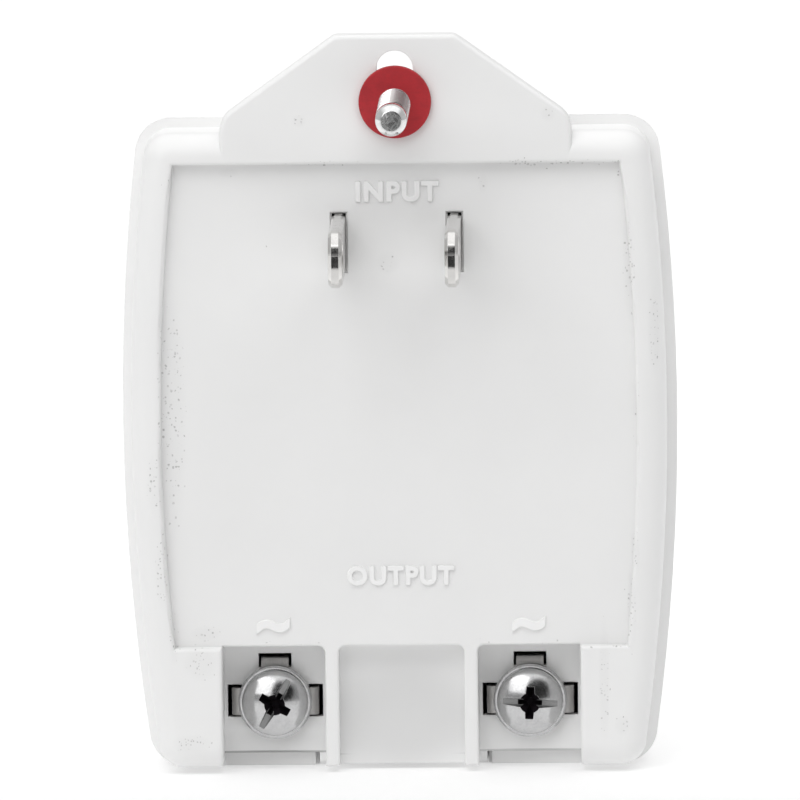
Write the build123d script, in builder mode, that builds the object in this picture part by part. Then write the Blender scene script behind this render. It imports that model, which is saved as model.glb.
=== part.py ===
from build123d import *
import os
from math import atan, cos, degrees, radians, sin, sqrt

# Plug-in transformer: two moulded case halves round an iron core, with wall blades, a slotted
# mounting tab and two screw terminals. Millimetres, +Z up. The origin is midway between the blades
# on the plane that meets the wall. -Y points into the wall and +Y into the room.

# Case
BODY_WIDTH = 61.0  # across the widest level of the barrel sides
BODY_HEIGHT = 72.0  # without the tab
BODY_DEPTH = 48.0  # wall plane to room face
SIDE_ARC_RADIUS = 255.0
WIDEST_DROP = 32.7  # widest level below the top
BLADE_DROP = 13.2  # blades' centreline below the top
CORNER_RADIUS = 4.0
ROOM_CORNER_RADIUS = 6.0
ROOM_EDGE_RADIUS = 4.0
BOTTOM_TRIM = 6.0  # drawn past the bottom, then cut off level
WALL = 2.0
DRAFT = 1.2  # drawn in over the cover's depth, at the sides
TOP_DRAFT = 5.5  # drawn down over the cover's depth, at the top
CORNER_SHARE = 0.95  # most of a corner's radius that an edge round may take

# Wall housing
HOUSING_DEPTH = 8.0  # wall plane to the joint with the cover
LEDGE = 1.1  # step in from the cover at the sides and top
BOTTOM_LEDGE = 0.6
RIM_WIDTH = 3.3
RIM_RADIUS = 2.7
RIM_EDGE_RADIUS = 0.4
PANEL_RECESS = 1.5
PANEL_THICKNESS = 1.8
LIP_LENGTH = 2.5
LIP_THICKNESS = 1.4
LIP_CLEARANCE = 0.15

# Terminal bay
BAY_HEIGHT = 13.5
BAY_WALL = 1.6
CENTRE_WELL_WIDTH = 13.8
CENTRE_WELL_DEPTH = 3.0  # below the panel
DIVIDER = 1.5
WELL_FLOOR = 1.4
WELL_CORNER_RADIUS = 0.8
WELL_EDGE_RADIUS = 0.3
WELL_MARGIN = 0.4  # beside the openings for the plates' legs
FLOOR_EDGE_HEIGHT = 1.0  # lower edge of the terminal wells' floors above the housing's bottom
TERMINAL_DROP = 6.7  # terminal screws below the wells' upper edge
TONGUE_OVERHANG = 0.85  # past the dividers, on each side
TONGUE_LENGTH = 12.0
TONGUE_THICKNESS = 2.0
TONGUE_LIFT = 0.1  # above the cover's bottom
TONGUE_CLEARANCE = 0.1
NOTCH_MOUTH_GAP = 0.45  # beside the tongue where its notch shows
NOTCH_MOUTH_DEPTH = 0.8

# Mounting tab and its captive screw
TAB_TOP_WIDTH = 13.2
TAB_WIDTH = 38.6
TAB_SHOULDER = 0.7  # shoulders above the cover's top
TAB_THICKNESS = 3.0
TAB_CORNER_RADIUS = 1.5
TAB_SHOULDER_RADIUS = 3.0
TAB_EDGE_RADIUS = 0.5
TAB_MARGIN = 1.7  # above the slot
SLOT_CLEARANCE = 0.25
SLOT_TRAVEL = 3.6
SLOT_HEAD_GAP = 0.3  # between the lowered screw's head and the housing's top
MOUNTING_SCREW_LENGTH = 22.2
NECK_GAP = 0.3  # from its washer to its thread
FIBRE_WASHER_DIAMETER = 7.95
FIBRE_WASHER_THICKNESS = 0.8
FIBRE_WASHER_EDGE = 0.1

# Screws and terminal hardware
SCREW_DIAMETER = 3.5
NECK_DIAMETER = 2.9  # under the heads, where the washers are held
SCREW_TIP_INSET = 0.6
SCREW_TIP_CHAMFER = 0.7
HEAD_DIAMETER = 7.3
HEAD_HEIGHT = 2.1
HEAD_EDGE = 0.75
MOUNTING_HEAD_DIAMETER = 6.6
DRIVE_SLOT_LENGTH = 9.0  # out past the head's edge
DRIVE_SLOT_WIDTH = 1.1
DRIVE_SLOT_DEPTH = 0.9
CROSS_SPAN = 3.9
CROSS_WIDTH = 1.15
CROSS_DEPTH = 1.7
CROSS_DRAW_IN = 0.55  # of each wall, over the cross's depth
TERMINAL_SCREW_LENGTH = 6.4
TERMINAL_SCREW_TURNS = {"left": 60.0, "right": -3.0}
TERMINAL_WASHER_DIAMETER = 8.1
TERMINAL_WASHER_THICKNESS = 0.8
WASHER_EDGE = 0.2
PLATE_DIAMETER = 7.4
PLATE_THICKNESS = 0.8
LEG_WIDTH = 3.0
LEG_REACH = 4.8  # outside of the bent legs from the screw's axis
LEG_LENGTH = 3.4
LEG_BEND_RADIUS = 0.7
LUG_LENGTH = 8.6
LEG_END_GAP = 0.45
LEG_CLEARANCE = 0.3
COLLAR_WALL = 0.8
COLLAR_CLEARANCE = 0.3
RUNNING_CLEARANCE = 0.05
SEAT_GAP = 0.05
TAB_GAP = 0.1

# Blades
BLADE_SPACING = 12.7
BLADE_THICKNESS = 1.5
BLADE_WIDTH = 6.35
BLADE_REACH = 16.0  # beyond the wall plane
BLADE_TIP_RADIUS = 2.6
BLADE_TIP_BEVEL = 0.35
BLADE_HOLE_DIAMETER = 3.9
BLADE_HOLE_REACH = 11.9
BLADE_CLEARANCE = 0.2
BLADE_BOSS_WALL = 2.2
BLADE_BOSS_HEIGHT = 3.0
SHOULDER_WIDTH = 9.4
SHOULDER_LENGTH = 2.0
TAIL_WIDTH = 4.4
TAIL_LENGTH = 3.8

# Core and coil
CORE_SIDE_ROOM = 6.5  # from the case's widest level in to the core, for wall, draft and ribs
CORE_FRONT_ROOM = 13.0  # behind the panel, for the blades, leads and coil
CORE_BAY_ROOM = 6.7  # above the terminal bay
COIL_TOP_ROOM = 1.3  # below the blades' shoulders
CORE_LEG = 8.0
CORE_YOKE = 8.0
CORE_WINDOW = 8.0
CORE_GAP = 0.15
COIL_BACK_GAP = 0.8
CHAMBERS = 2
BOBBIN_WALL = 0.9
BOBBIN_GAP = 0.2
FLANGE_OVERHANG = 6.9  # past the core's faces
FLANGE_SIDE_GAP = 0.3
FLANGE_CORNER_RADIUS = 1.5
FLANGE_PROUD = 0.5  # past the tape
WINDING_CORNER_RADIUS = 3.5
TAPE_THICKNESS = 0.35
RIB_THICKNESS = 2.0
RIB_INSET = 5.0  # from the core's top and bottom
RIB_SEAT = 3.0
RIB_LEAD_IN = 2.0
RIB_LEAD_IN_WIDTH = 1.0
RIB_ROOT = 0.5  # into the cover's end wall
POST_DIAMETER = 5.0
POST_INSET = 3.0
POST_TAPER = 0.8

# Leads and cutoff
PRIMARY_LEAD_DIAMETER = 1.6
SECONDARY_LEAD_DIAMETER = 1.9
LEAD_GAP = 0.1
LEAD_START = 2.0
PRIMARY_LEAD_BEND = 2.8
SECONDARY_LEAD_BEND = 5.0
CUTOFF_DIAMETER = 3.2
CUTOFF_LENGTH = 9.0
CUTOFF_EDGE = 0.4
CUTOFF_WIRE_DIAMETER = 0.8
CUTOFF_WIRE_LENGTH = 3.0
CUTOFF_WIRE_BEND = 1.2

SIDES = {"left": -1, "right": 1}
TOUCH = 0.01  # within which two places count as one

# Levels from the blades' centreline
cover_top = BLADE_DROP
cover_bottom = cover_top - BODY_HEIGHT
widest_level = cover_top - WIDEST_DROP
housing_bottom = cover_bottom + BOTTOM_LEDGE
housing_top = cover_top - LEDGE
recess_top = housing_top - RIM_WIDTH
bay_top = housing_bottom + BAY_HEIGHT
floor_edge = housing_bottom + FLOOR_EDGE_HEIGHT
terminal_level = bay_top - TERMINAL_DROP
slot_low = housing_top + SLOT_HEAD_GAP + MOUNTING_HEAD_DIAMETER / 2
slot_width = SCREW_DIAMETER + 2 * SLOT_CLEARANCE
tab_top = slot_low + SLOT_TRAVEL + slot_width / 2 + TAB_MARGIN
tab_shoulder = cover_top + TAB_SHOULDER

# Insets from the cover's outline
recess_inset = LEDGE + RIM_WIDTH
lip_inset = WALL + LIP_CLEARANCE
cavity_inset = lip_inset + LIP_THICKNESS

# Depths from the wall plane
panel_back = PANEL_RECESS + PANEL_THICKNESS
boss_back = panel_back + BLADE_BOSS_HEIGHT
lip_end = HOUSING_DEPTH + LIP_LENGTH
well_floor = HOUSING_DEPTH - WELL_FLOOR
centre_floor = PANEL_RECESS + CENTRE_WELL_DEPTH
centre_floor_back = centre_floor + BAY_WALL
plate_front = well_floor - PLATE_THICKNESS
room_inside = BODY_DEPTH - WALL
lip_drop = TOP_DRAFT * LIP_LENGTH / (room_inside - HOUSING_DEPTH)
core_back = room_inside - COIL_BACK_GAP - FLANGE_OVERHANG
core_front = panel_back + CORE_FRONT_ROOM
core_stack = core_back - core_front
core_middle = (core_front + core_back) / 2

# Terminal bay across
leg_slot_reach = LEG_REACH + LEG_END_GAP
terminal_well_width = 2 * (leg_slot_reach + WELL_MARGIN)
divider_outside = CENTRE_WELL_WIDTH / 2 + DIVIDER
bay_half_width = divider_outside + terminal_well_width
terminal_offset = divider_outside + terminal_well_width / 2
tongue_half_width = divider_outside + TONGUE_OVERHANG

# Core, across and in height
core_width = BODY_WIDTH - 2 * CORE_SIDE_ROOM
core_tongue = core_width - 2 * (CORE_LEG + CORE_WINDOW)
window_top = -SHOULDER_WIDTH / 2 - COIL_TOP_ROOM
core_top = window_top + CORE_YOKE
core_bottom = bay_top + CORE_BAY_ROOM
window_bottom = core_bottom + CORE_YOKE

# Coil, in plan and in height
tube_inside = (core_tongue + 2 * BOBBIN_GAP, core_stack + 2 * BOBBIN_GAP)
tube_outside = [size + 2 * BOBBIN_WALL for size in tube_inside]
flange_size = (core_tongue + 2 * (CORE_WINDOW - FLANGE_SIDE_GAP), core_stack + 2 * FLANGE_OVERHANG)
tape_outside = [size - 2 * FLANGE_PROUD for size in flange_size]
winding_outside = [size - 2 * TAPE_THICKNESS for size in tape_outside]
bobbin_bottom = window_bottom + BOBBIN_GAP
bobbin_top = window_top - BOBBIN_GAP
chamber_height = (bobbin_top - bobbin_bottom - (CHAMBERS + 1) * BOBBIN_WALL) / CHAMBERS
secondary_bottom = bobbin_bottom + BOBBIN_WALL
middle_flange = secondary_bottom + chamber_height
primary_bottom = middle_flange + BOBBIN_WALL
tape_front = core_middle - tape_outside[1] / 2
flange_front = core_middle - flange_size[1] / 2

screw_radius = SCREW_DIAMETER / 2
neck_radius = NECK_DIAMETER / 2
bore_radius = screw_radius + RUNNING_CLEARANCE
collar_radius = bore_radius + COLLAR_WALL


def at_depth(depth):
    """Sketch plane that faces the wall, set back from the wall plane."""
    return Plane.XZ.offset(-depth)


def barrel_half_width(inset, level):
    """Half the width between the barrel sides at a level, drawn in by an inset."""
    radius = SIDE_ARC_RADIUS - inset
    return BODY_WIDTH / 2 - inset - radius + sqrt(radius**2 - (level - widest_level) ** 2)


def barrel_outline(inset, bottom, top):
    """Face with barrel sides and a flat bottom and top, in the active sketch."""
    middle = (bottom + top) / 2
    low, half, high = [barrel_half_width(inset, level) for level in (bottom, middle, top)]
    with BuildLine() as boundary:
        ThreePointArc((low, bottom), (half, middle), (high, top))
        Line((high, top), (-high, top))
        ThreePointArc((-high, top), (-half, middle), (-low, bottom))
        Line((-low, bottom), (low, bottom))
    make_face(boundary.edges())


def span(left, right, bottom, top):
    """Rectangle between four edges, in the active sketch."""
    with Locations(((left + right) / 2, (bottom + top) / 2)):
        Rectangle(right - left, top - bottom)


def borders_recess(edge):
    """Whether an edge of the rim's front face lies along the recess and the terminal bay."""
    middle = edge.center()
    inside = abs(middle.X) < barrel_half_width(recess_inset, middle.Z) + TOUCH
    return inside and housing_bottom + RIM_RADIUS + TOUCH < middle.Z < recess_top + TOUCH


def borders_well(edge):
    """Whether an edge of the panel lies along one of the three wells."""
    middle = edge.center()
    across = abs(middle.X) < bay_half_width - TOUCH
    return across and housing_bottom + RIM_RADIUS < middle.Z < bay_top + TOUCH


def write(piece, name):
    """Name a finished piece and save it."""
    piece.part.label = name
    export_step(piece.part, f"parts/{name}.step")


os.makedirs("parts", exist_ok=True)


# Tab blank, which runs down past the recess's upper edge until the recess is cut
with BuildPart() as tab_blank:
    with BuildSketch(Plane.XZ) as tab_face:
        with BuildLine():
            Polyline(
                (0, tab_top),
                (TAB_TOP_WIDTH / 2, tab_top),
                (TAB_WIDTH / 2, tab_shoulder),
                (TAB_WIDTH / 2, recess_top - TAB_THICKNESS),
                (0, recess_top - TAB_THICKNESS),
            )
            mirror(about=Plane.YZ)
        make_face()
        fillet(tab_face.vertices().group_by(Axis.Y)[-1], TAB_CORNER_RADIUS)
        fillet(tab_face.vertices().filter_by(lambda corner: corner.Y == tab_shoulder), TAB_SHOULDER_RADIUS)
    extrude(amount=-TAB_THICKNESS)
    fillet(tab_blank.faces().sort_by(Axis.Y)[0].edges(), TAB_EDGE_RADIUS)
    fillet(tab_blank.faces().sort_by(Axis.Y)[-1].edges(), TAB_EDGE_RADIUS)


# Wall housing
with BuildPart() as wall_housing:
    housing_corner = CORNER_RADIUS - LEDGE
    rim_radius = min(RIM_RADIUS, CORNER_SHARE * housing_corner)
    with BuildSketch(Plane.XZ) as outline:
        barrel_outline(LEDGE, housing_bottom, housing_top)
        fillet(outline.vertices(), housing_corner)
    extrude(amount=-HOUSING_DEPTH)
    fillet(wall_housing.faces().sort_by(Axis.Y)[0].edges(), rim_radius)
    add(tab_blank.part)

    # Lip that fits inside the cover, and the hollow behind the panel
    with BuildSketch(at_depth(HOUSING_DEPTH)) as lip:
        barrel_outline(lip_inset, cover_bottom + lip_inset, cover_top - lip_inset - lip_drop)
        fillet(lip.vertices(), CORNER_RADIUS - WALL)
    extrude(amount=-LIP_LENGTH)
    with BuildSketch(at_depth(panel_back)) as cavity:
        barrel_outline(cavity_inset, cover_bottom + cavity_inset, cover_top - cavity_inset)
    extrude(amount=panel_back - lip_end, mode=Mode.SUBTRACT)

    # Recessed panel, open to the bottom between the two lower blocks
    with BuildSketch(at_depth(panel_back)) as bay_block:
        block_half_width = bay_half_width + BAY_WALL
        span(-block_half_width, block_half_width, cover_bottom + lip_inset, bay_top + BAY_WALL)
    extrude(amount=panel_back - HOUSING_DEPTH)
    with BuildSketch(Plane.XZ) as recess:
        barrel_outline(recess_inset, bay_top, recess_top)
        span(-bay_half_width, bay_half_width, cover_bottom, bay_top)
    extrude(amount=-PANEL_RECESS, mode=Mode.SUBTRACT)
    rim_edges = wall_housing.faces().sort_by(Axis.Y)[0].edges().filter_by(borders_recess)
    fillet(rim_edges, RIM_EDGE_RADIUS)

    # Wells for the two terminals and the shallower one between them
    with BuildSketch(Plane.XZ) as terminal_wells:
        for sign in SIDES.values():
            edges = sorted((sign * divider_outside, sign * bay_half_width))
            span(*edges, cover_bottom, bay_top)
        well_tops = terminal_wells.vertices().group_by(Axis.Y)[-1]
        fillet(well_tops.filter_by(lambda corner: abs(corner.X) < terminal_offset), WELL_CORNER_RADIUS)
    extrude(amount=-well_floor, mode=Mode.SUBTRACT)
    with BuildSketch(Plane.XZ) as centre_well:
        span(-CENTRE_WELL_WIDTH / 2, CENTRE_WELL_WIDTH / 2, cover_bottom, bay_top)
        fillet(centre_well.vertices().group_by(Axis.Y)[-1], WELL_CORNER_RADIUS)
    extrude(amount=-centre_floor, mode=Mode.SUBTRACT)
    panel_edges = wall_housing.faces().filter_by(lambda face: face.center().Y == PANEL_RECESS).edges()
    fillet(panel_edges.filter_by(borders_well), WELL_EDGE_RADIUS)
    with BuildSketch(at_depth(centre_floor_back)) as centre_core_out:
        span(-CENTRE_WELL_WIDTH / 2, CENTRE_WELL_WIDTH / 2, cover_bottom + cavity_inset, bay_top)
    extrude(amount=centre_floor_back - HOUSING_DEPTH, mode=Mode.SUBTRACT)

    # The floors stop short of the bottom, where the cover's edge shows
    with BuildSketch(Plane.XZ) as floor_cut:
        for sign in SIDES.values():
            edges = sorted((sign * tongue_half_width, sign * bay_half_width))
            span(*edges, cover_bottom, floor_edge)
    extrude(amount=-HOUSING_DEPTH, mode=Mode.SUBTRACT)
    with BuildSketch(at_depth(HOUSING_DEPTH)) as tongue:
        tongue_bottom = cover_bottom + TONGUE_LIFT
        span(-tongue_half_width, tongue_half_width, tongue_bottom, tongue_bottom + TONGUE_THICKNESS)
    extrude(amount=-TONGUE_LENGTH)

    # Openings for the terminal plates' legs and collars
    with BuildSketch(at_depth(well_floor)) as plate_openings:
        leg_inside = LEG_REACH - PLATE_THICKNESS - LEG_CLEARANCE
        leg_half_slot = LEG_WIDTH / 2 + LEG_CLEARANCE
        for sign in SIDES.values():
            middle = sign * terminal_offset
            with Locations((middle, terminal_level)):
                Circle(collar_radius + COLLAR_CLEARANCE)
            low = terminal_level - leg_half_slot
            high = terminal_level + leg_half_slot
            span(middle - leg_slot_reach, middle - leg_inside, low, high)
            span(middle + leg_inside, middle + leg_slot_reach, low, high)
            low = terminal_level + leg_inside
            high = terminal_level + leg_slot_reach
            span(middle - leg_half_slot, middle + leg_half_slot, low, high)
    extrude(amount=-WELL_FLOOR, mode=Mode.SUBTRACT)

    # Blade bosses behind the panel, with the slots through both
    boss_size = (BLADE_THICKNESS + 2 * BLADE_BOSS_WALL, BLADE_WIDTH + 2 * BLADE_BOSS_WALL)
    with BuildSketch(at_depth(panel_back)) as blade_bosses:
        with GridLocations(BLADE_SPACING, 1, 2, 1):
            Rectangle(*boss_size)
    extrude(amount=-BLADE_BOSS_HEIGHT)
    with BuildSketch(at_depth(PANEL_RECESS)) as blade_slots:
        with GridLocations(BLADE_SPACING, 1, 2, 1):
            Rectangle(BLADE_THICKNESS + 2 * BLADE_CLEARANCE, BLADE_WIDTH + 2 * BLADE_CLEARANCE)
    extrude(amount=PANEL_RECESS - boss_back, mode=Mode.SUBTRACT)

    # Posts that hold the core back
    with BuildSketch(at_depth(core_front - CORE_GAP)) as core_posts:
        with Locations((0, (core_bottom + core_top) / 2)):
            with GridLocations(core_width - 2 * POST_INSET, core_top - core_bottom - 2 * POST_INSET, 2, 2):
                Circle(POST_DIAMETER / 2)
    extrude(amount=core_front - CORE_GAP - panel_back, taper=-POST_TAPER)

    # Slot for the mounting screw
    with BuildSketch(Plane.XZ) as tab_slot:
        with Locations((0, slot_low + SLOT_TRAVEL / 2)):
            SlotCenterToCenter(SLOT_TRAVEL, slot_width, rotation=90)
    extrude(amount=-TAB_THICKNESS, mode=Mode.SUBTRACT)
write(wall_housing, "wall_housing")


# Room cover
with BuildPart() as room_cover:
    with BuildSketch(at_depth(HOUSING_DEPTH)) as mouth:
        barrel_outline(0, cover_bottom - BOTTOM_TRIM, cover_top)
        fillet(mouth.vertices().group_by(Axis.Y)[-1], CORNER_RADIUS)
    with BuildSketch(at_depth(BODY_DEPTH)) as room_face:
        barrel_outline(DRAFT, cover_bottom - BOTTOM_TRIM, cover_top - TOP_DRAFT)
        fillet(room_face.vertices().group_by(Axis.Y)[-1], ROOM_CORNER_RADIUS)
    loft(ruled=True)
    split(bisect_by=Plane.XY.offset(cover_bottom), keep=Keep.TOP)
    bottom_edges = room_cover.faces().sort_by(Axis.Z)[0].edges().sort_by(Axis.X)
    fillet((bottom_edges[0], bottom_edges[-1]), CORNER_RADIUS)
    room_edge_radius = min(ROOM_EDGE_RADIUS, CORNER_SHARE * min(CORNER_RADIUS, ROOM_CORNER_RADIUS))
    fillet(room_cover.faces().sort_by(Axis.Y)[-1].edges(), room_edge_radius)
    with BuildSketch(at_depth(HOUSING_DEPTH)) as mouth_inside:
        barrel_outline(WALL, cover_bottom + WALL, cover_top - WALL)
        fillet(mouth_inside.vertices(), CORNER_RADIUS - WALL)
    with BuildSketch(at_depth(room_inside)) as room_face_inside:
        barrel_outline(WALL + DRAFT, cover_bottom + WALL, cover_top - WALL - TOP_DRAFT)
        fillet(room_face_inside.vertices(), ROOM_CORNER_RADIUS - WALL)
    loft(ruled=True, mode=Mode.SUBTRACT)
    end_wall = room_cover.faces().filter_by(lambda face: abs(face.center().Y - room_inside) < TOUCH)
    fillet(end_wall.edges(), room_edge_radius - WALL)

    # Notch for the housing's tongue, wider at its mouth
    with BuildSketch(at_depth(HOUSING_DEPTH)) as notch:
        notch_half_width = tongue_half_width + TONGUE_CLEARANCE
        span(-notch_half_width, notch_half_width, cover_bottom, cover_bottom + WALL)
    extrude(amount=-TONGUE_LENGTH - TONGUE_CLEARANCE, mode=Mode.SUBTRACT)
    with BuildSketch(at_depth(HOUSING_DEPTH)) as notch_mouth:
        mouth_half_width = tongue_half_width + NOTCH_MOUTH_GAP
        span(-mouth_half_width, mouth_half_width, cover_bottom, cover_bottom + WALL)
    extrude(amount=-NOTCH_MOUTH_DEPTH, mode=Mode.SUBTRACT)

    # Stepped ribs that grip the core's sides and stop it at the back
    for level in (core_bottom + RIB_INSET, core_top - RIB_INSET):
        with BuildSketch(Plane.XY.offset(level)) as rib:
            with BuildLine():
                root = barrel_half_width((WALL + DRAFT) / 2, level)
                grip = core_width / 2 + CORE_GAP
                stop = core_width / 2 - RIB_SEAT
                Polyline(
                    (root, core_front),
                    (grip + RIB_LEAD_IN_WIDTH, core_front),
                    (grip, core_front + RIB_LEAD_IN),
                    (grip, core_back + CORE_GAP),
                    (stop, core_back + CORE_GAP),
                    (stop, room_inside + RIB_ROOT),
                    (root - room_edge_radius, room_inside + RIB_ROOT),
                    (root, room_inside - room_edge_radius),
                    close=True,
                )
            make_face()
            mirror(about=Plane.YZ)
        extrude(amount=RIB_THICKNESS / 2, both=True)
write(room_cover, "room_cover")


# Blades, with shoulders behind the bosses and tails for the leads
for side, sign in SIDES.items():
    with BuildPart() as line_blade:
        shoulder_front = boss_back + SEAT_GAP
        shoulder_back = shoulder_front + SHOULDER_LENGTH
        with BuildSketch(Plane.YZ.offset(sign * BLADE_SPACING / 2)) as blade_flat:
            span(-BLADE_REACH, shoulder_front, -BLADE_WIDTH / 2, BLADE_WIDTH / 2)
            span(shoulder_front, shoulder_back, -SHOULDER_WIDTH / 2, SHOULDER_WIDTH / 2)
            span(shoulder_back, shoulder_back + TAIL_LENGTH, -TAIL_WIDTH / 2, TAIL_WIDTH / 2)
            with Locations((-BLADE_HOLE_REACH, 0)):
                Circle(BLADE_HOLE_DIAMETER / 2, mode=Mode.SUBTRACT)
            fillet(blade_flat.vertices().group_by(Axis.X)[0], BLADE_TIP_RADIUS)
        extrude(amount=BLADE_THICKNESS / 2, both=True)
        tip = line_blade.edges().filter_by_position(
            Axis.Y, -BLADE_REACH - BLADE_TIP_BEVEL, -BLADE_REACH + BLADE_TIP_RADIUS - BLADE_TIP_BEVEL
        )
        chamfer(tip.filter_by(Axis.X, reverse=True), BLADE_TIP_BEVEL)
    write(line_blade, f"line_blade_{side}")


def screw_body(seat, towards_wall, head_diameter, length, neck_length):
    """Domed head, neck and shank about a seat point, turned in the active part."""
    profile_plane = Plane(origin=seat, x_dir=(1, 0, 0), z_dir=(0, 0, -1 if towards_wall else 1))
    head_radius = head_diameter / 2
    rise = HEAD_HEIGHT - HEAD_EDGE
    dome_radius = (head_radius**2 + rise**2) / (2 * rise)
    middle = head_radius / 2
    dome_middle = HEAD_HEIGHT - dome_radius + sqrt(dome_radius**2 - middle**2)
    with BuildSketch(profile_plane) as profile:
        with BuildLine():
            Polyline(
                (head_radius, -HEAD_EDGE),
                (head_radius, 0),
                (neck_radius, 0),
                (neck_radius, neck_length),
                (screw_radius, neck_length),
                (screw_radius, length - SCREW_TIP_CHAMFER),
                (screw_radius - SCREW_TIP_INSET, length),
                (0, length),
                (0, -HEAD_HEIGHT),
            )
            ThreePointArc((0, -HEAD_HEIGHT), (middle, -dome_middle), (head_radius, -HEAD_EDGE))
        make_face()
    revolve(profile.sketch, axis=Axis(seat, (0, 1, 0)))


def drive_recess(crown, outward, turn):
    """Slot with a cross in its middle, sunk into a head from its crown in the active part."""
    direction = (cos(radians(turn)), 0, sin(radians(turn)))
    crown_plane = Plane(origin=crown, x_dir=direction, z_dir=(0, outward, 0))
    with BuildSketch(crown_plane) as slot:
        Rectangle(DRIVE_SLOT_LENGTH, DRIVE_SLOT_WIDTH)
    extrude(slot.sketch, amount=-DRIVE_SLOT_DEPTH, mode=Mode.SUBTRACT)
    with BuildSketch(crown_plane) as cross:
        Rectangle(CROSS_SPAN, CROSS_WIDTH)
        Rectangle(CROSS_WIDTH, CROSS_SPAN)
    cross_taper = degrees(atan(CROSS_DRAW_IN / CROSS_DEPTH))
    extrude(cross.sketch, amount=-CROSS_DEPTH, taper=cross_taper, mode=Mode.SUBTRACT)


# Terminal hardware: plate on the well's floor, washer, and screw through both
for side, sign in SIDES.items():
    terminal_x = sign * terminal_offset
    washer_back = plate_front - SEAT_GAP
    washer_front = washer_back - TERMINAL_WASHER_THICKNESS
    head_seat = washer_front - SEAT_GAP

    with BuildPart() as terminal_plate:
        with BuildSketch(at_depth(plate_front)) as plate_face:
            with Locations((terminal_x, terminal_level)):
                Circle(PLATE_DIAMETER / 2)
                Rectangle(2 * LEG_REACH, LEG_WIDTH)
                Rectangle(LEG_WIDTH, LEG_REACH, align=(Align.CENTER, Align.MIN))
        extrude(amount=-PLATE_THICKNESS)
        with BuildSketch(at_depth(plate_front)) as side_legs:
            with Locations((terminal_x, terminal_level)):
                with GridLocations(2 * LEG_REACH - PLATE_THICKNESS, 1, 2, 1):
                    Rectangle(PLATE_THICKNESS, LEG_WIDTH)
        extrude(amount=-LEG_LENGTH)
        with BuildSketch(at_depth(plate_front)) as lug:
            with Locations((terminal_x, terminal_level + LEG_REACH)):
                Rectangle(LEG_WIDTH, PLATE_THICKNESS, align=(Align.CENTER, Align.MAX))
        extrude(amount=-LUG_LENGTH)
        bends = terminal_plate.edges().group_by(Axis.Y)[0].filter_by(
            lambda edge: abs(
                max(abs(edge.center().X - terminal_x), edge.center().Z - terminal_level) - LEG_REACH
            ) < TOUCH
        )
        fillet(bends, LEG_BEND_RADIUS)
        with BuildSketch(at_depth(well_floor)) as collar:
            with Locations((terminal_x, terminal_level)):
                Circle(collar_radius)
        extrude(amount=-WELL_FLOOR)
        with BuildSketch(at_depth(plate_front)) as thread_bore:
            with Locations((terminal_x, terminal_level)):
                Circle(bore_radius)
        extrude(amount=-PLATE_THICKNESS - WELL_FLOOR, mode=Mode.SUBTRACT)
    write(terminal_plate, f"terminal_plate_{side}")

    with BuildPart() as terminal_washer:
        with BuildSketch(at_depth(washer_front)) as washer_face:
            with Locations((terminal_x, terminal_level)):
                Circle(TERMINAL_WASHER_DIAMETER / 2)
                Circle(neck_radius + RUNNING_CLEARANCE, mode=Mode.SUBTRACT)
        extrude(amount=-TERMINAL_WASHER_THICKNESS)
        chamfer(terminal_washer.edges().group_by(Axis.Y)[0].sort_by(SortBy.RADIUS)[-1], WASHER_EDGE)
    write(terminal_washer, f"terminal_washer_{side}")

    with BuildPart() as terminal_screw:
        seat = (terminal_x, head_seat, terminal_level)
        relief = plate_front - head_seat
        screw_body(seat, False, HEAD_DIAMETER, TERMINAL_SCREW_LENGTH, relief)
        crown = (terminal_x, head_seat - HEAD_HEIGHT, terminal_level)
        drive_recess(crown, -1, TERMINAL_SCREW_TURNS[side])
    write(terminal_screw, f"terminal_screw_{side}")


# Mounting screw, head on the tab's room side, and the washer that keeps it in the slot
with BuildPart() as mounting_screw:
    mounting_seat = TAB_THICKNESS + TAB_GAP
    seat = (0, mounting_seat, slot_low)
    neck_length = mounting_seat + TAB_GAP + FIBRE_WASHER_THICKNESS + NECK_GAP
    screw_body(seat, True, MOUNTING_HEAD_DIAMETER, MOUNTING_SCREW_LENGTH, neck_length)
    drive_recess((0, mounting_seat + HEAD_HEIGHT, slot_low), 1, 0)
write(mounting_screw, "mounting_screw")

with BuildPart() as fibre_washer:
    with BuildSketch(at_depth(-TAB_GAP)) as fibre_face:
        with Locations((0, slot_low)):
            Circle(FIBRE_WASHER_DIAMETER / 2)
            Circle(neck_radius + RUNNING_CLEARANCE, mode=Mode.SUBTRACT)
    extrude(amount=FIBRE_WASHER_THICKNESS)
    chamfer(fibre_washer.edges().group_by(Axis.Y)[0].sort_by(SortBy.RADIUS)[-1], FIBRE_WASHER_EDGE)
write(fibre_washer, "fibre_washer")


# Laminated core: an E closed by an I
with BuildPart() as core_e_stack:
    with BuildSketch(at_depth(core_front)) as e_shape:
        span(-core_width / 2, core_width / 2, core_bottom, window_top)
        for sign in SIDES.values():
            edges = sorted((sign * core_tongue / 2, sign * (core_tongue / 2 + CORE_WINDOW)))
            with Locations((sum(edges) / 2, (window_bottom + window_top) / 2)):
                Rectangle(CORE_WINDOW, window_top - window_bottom, mode=Mode.SUBTRACT)
    extrude(amount=-core_stack)
write(core_e_stack, "core_e_stack")

with BuildPart() as core_i_stack:
    with BuildSketch(at_depth(core_front)) as i_shape:
        span(-core_width / 2, core_width / 2, window_top, core_top)
    extrude(amount=-core_stack)
write(core_i_stack, "core_i_stack")


def coil_ring(outside, inside, corner, inner_corner, bottom, height):
    """Rectangular ring round the core's tongue, in the active part."""
    with BuildSketch(Plane.XY.offset(bottom)) as ring:
        with Locations((0, core_middle)):
            RectangleRounded(*outside, corner)
            RectangleRounded(*inside, inner_corner, mode=Mode.SUBTRACT)
    extrude(ring.sketch, amount=height)


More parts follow.
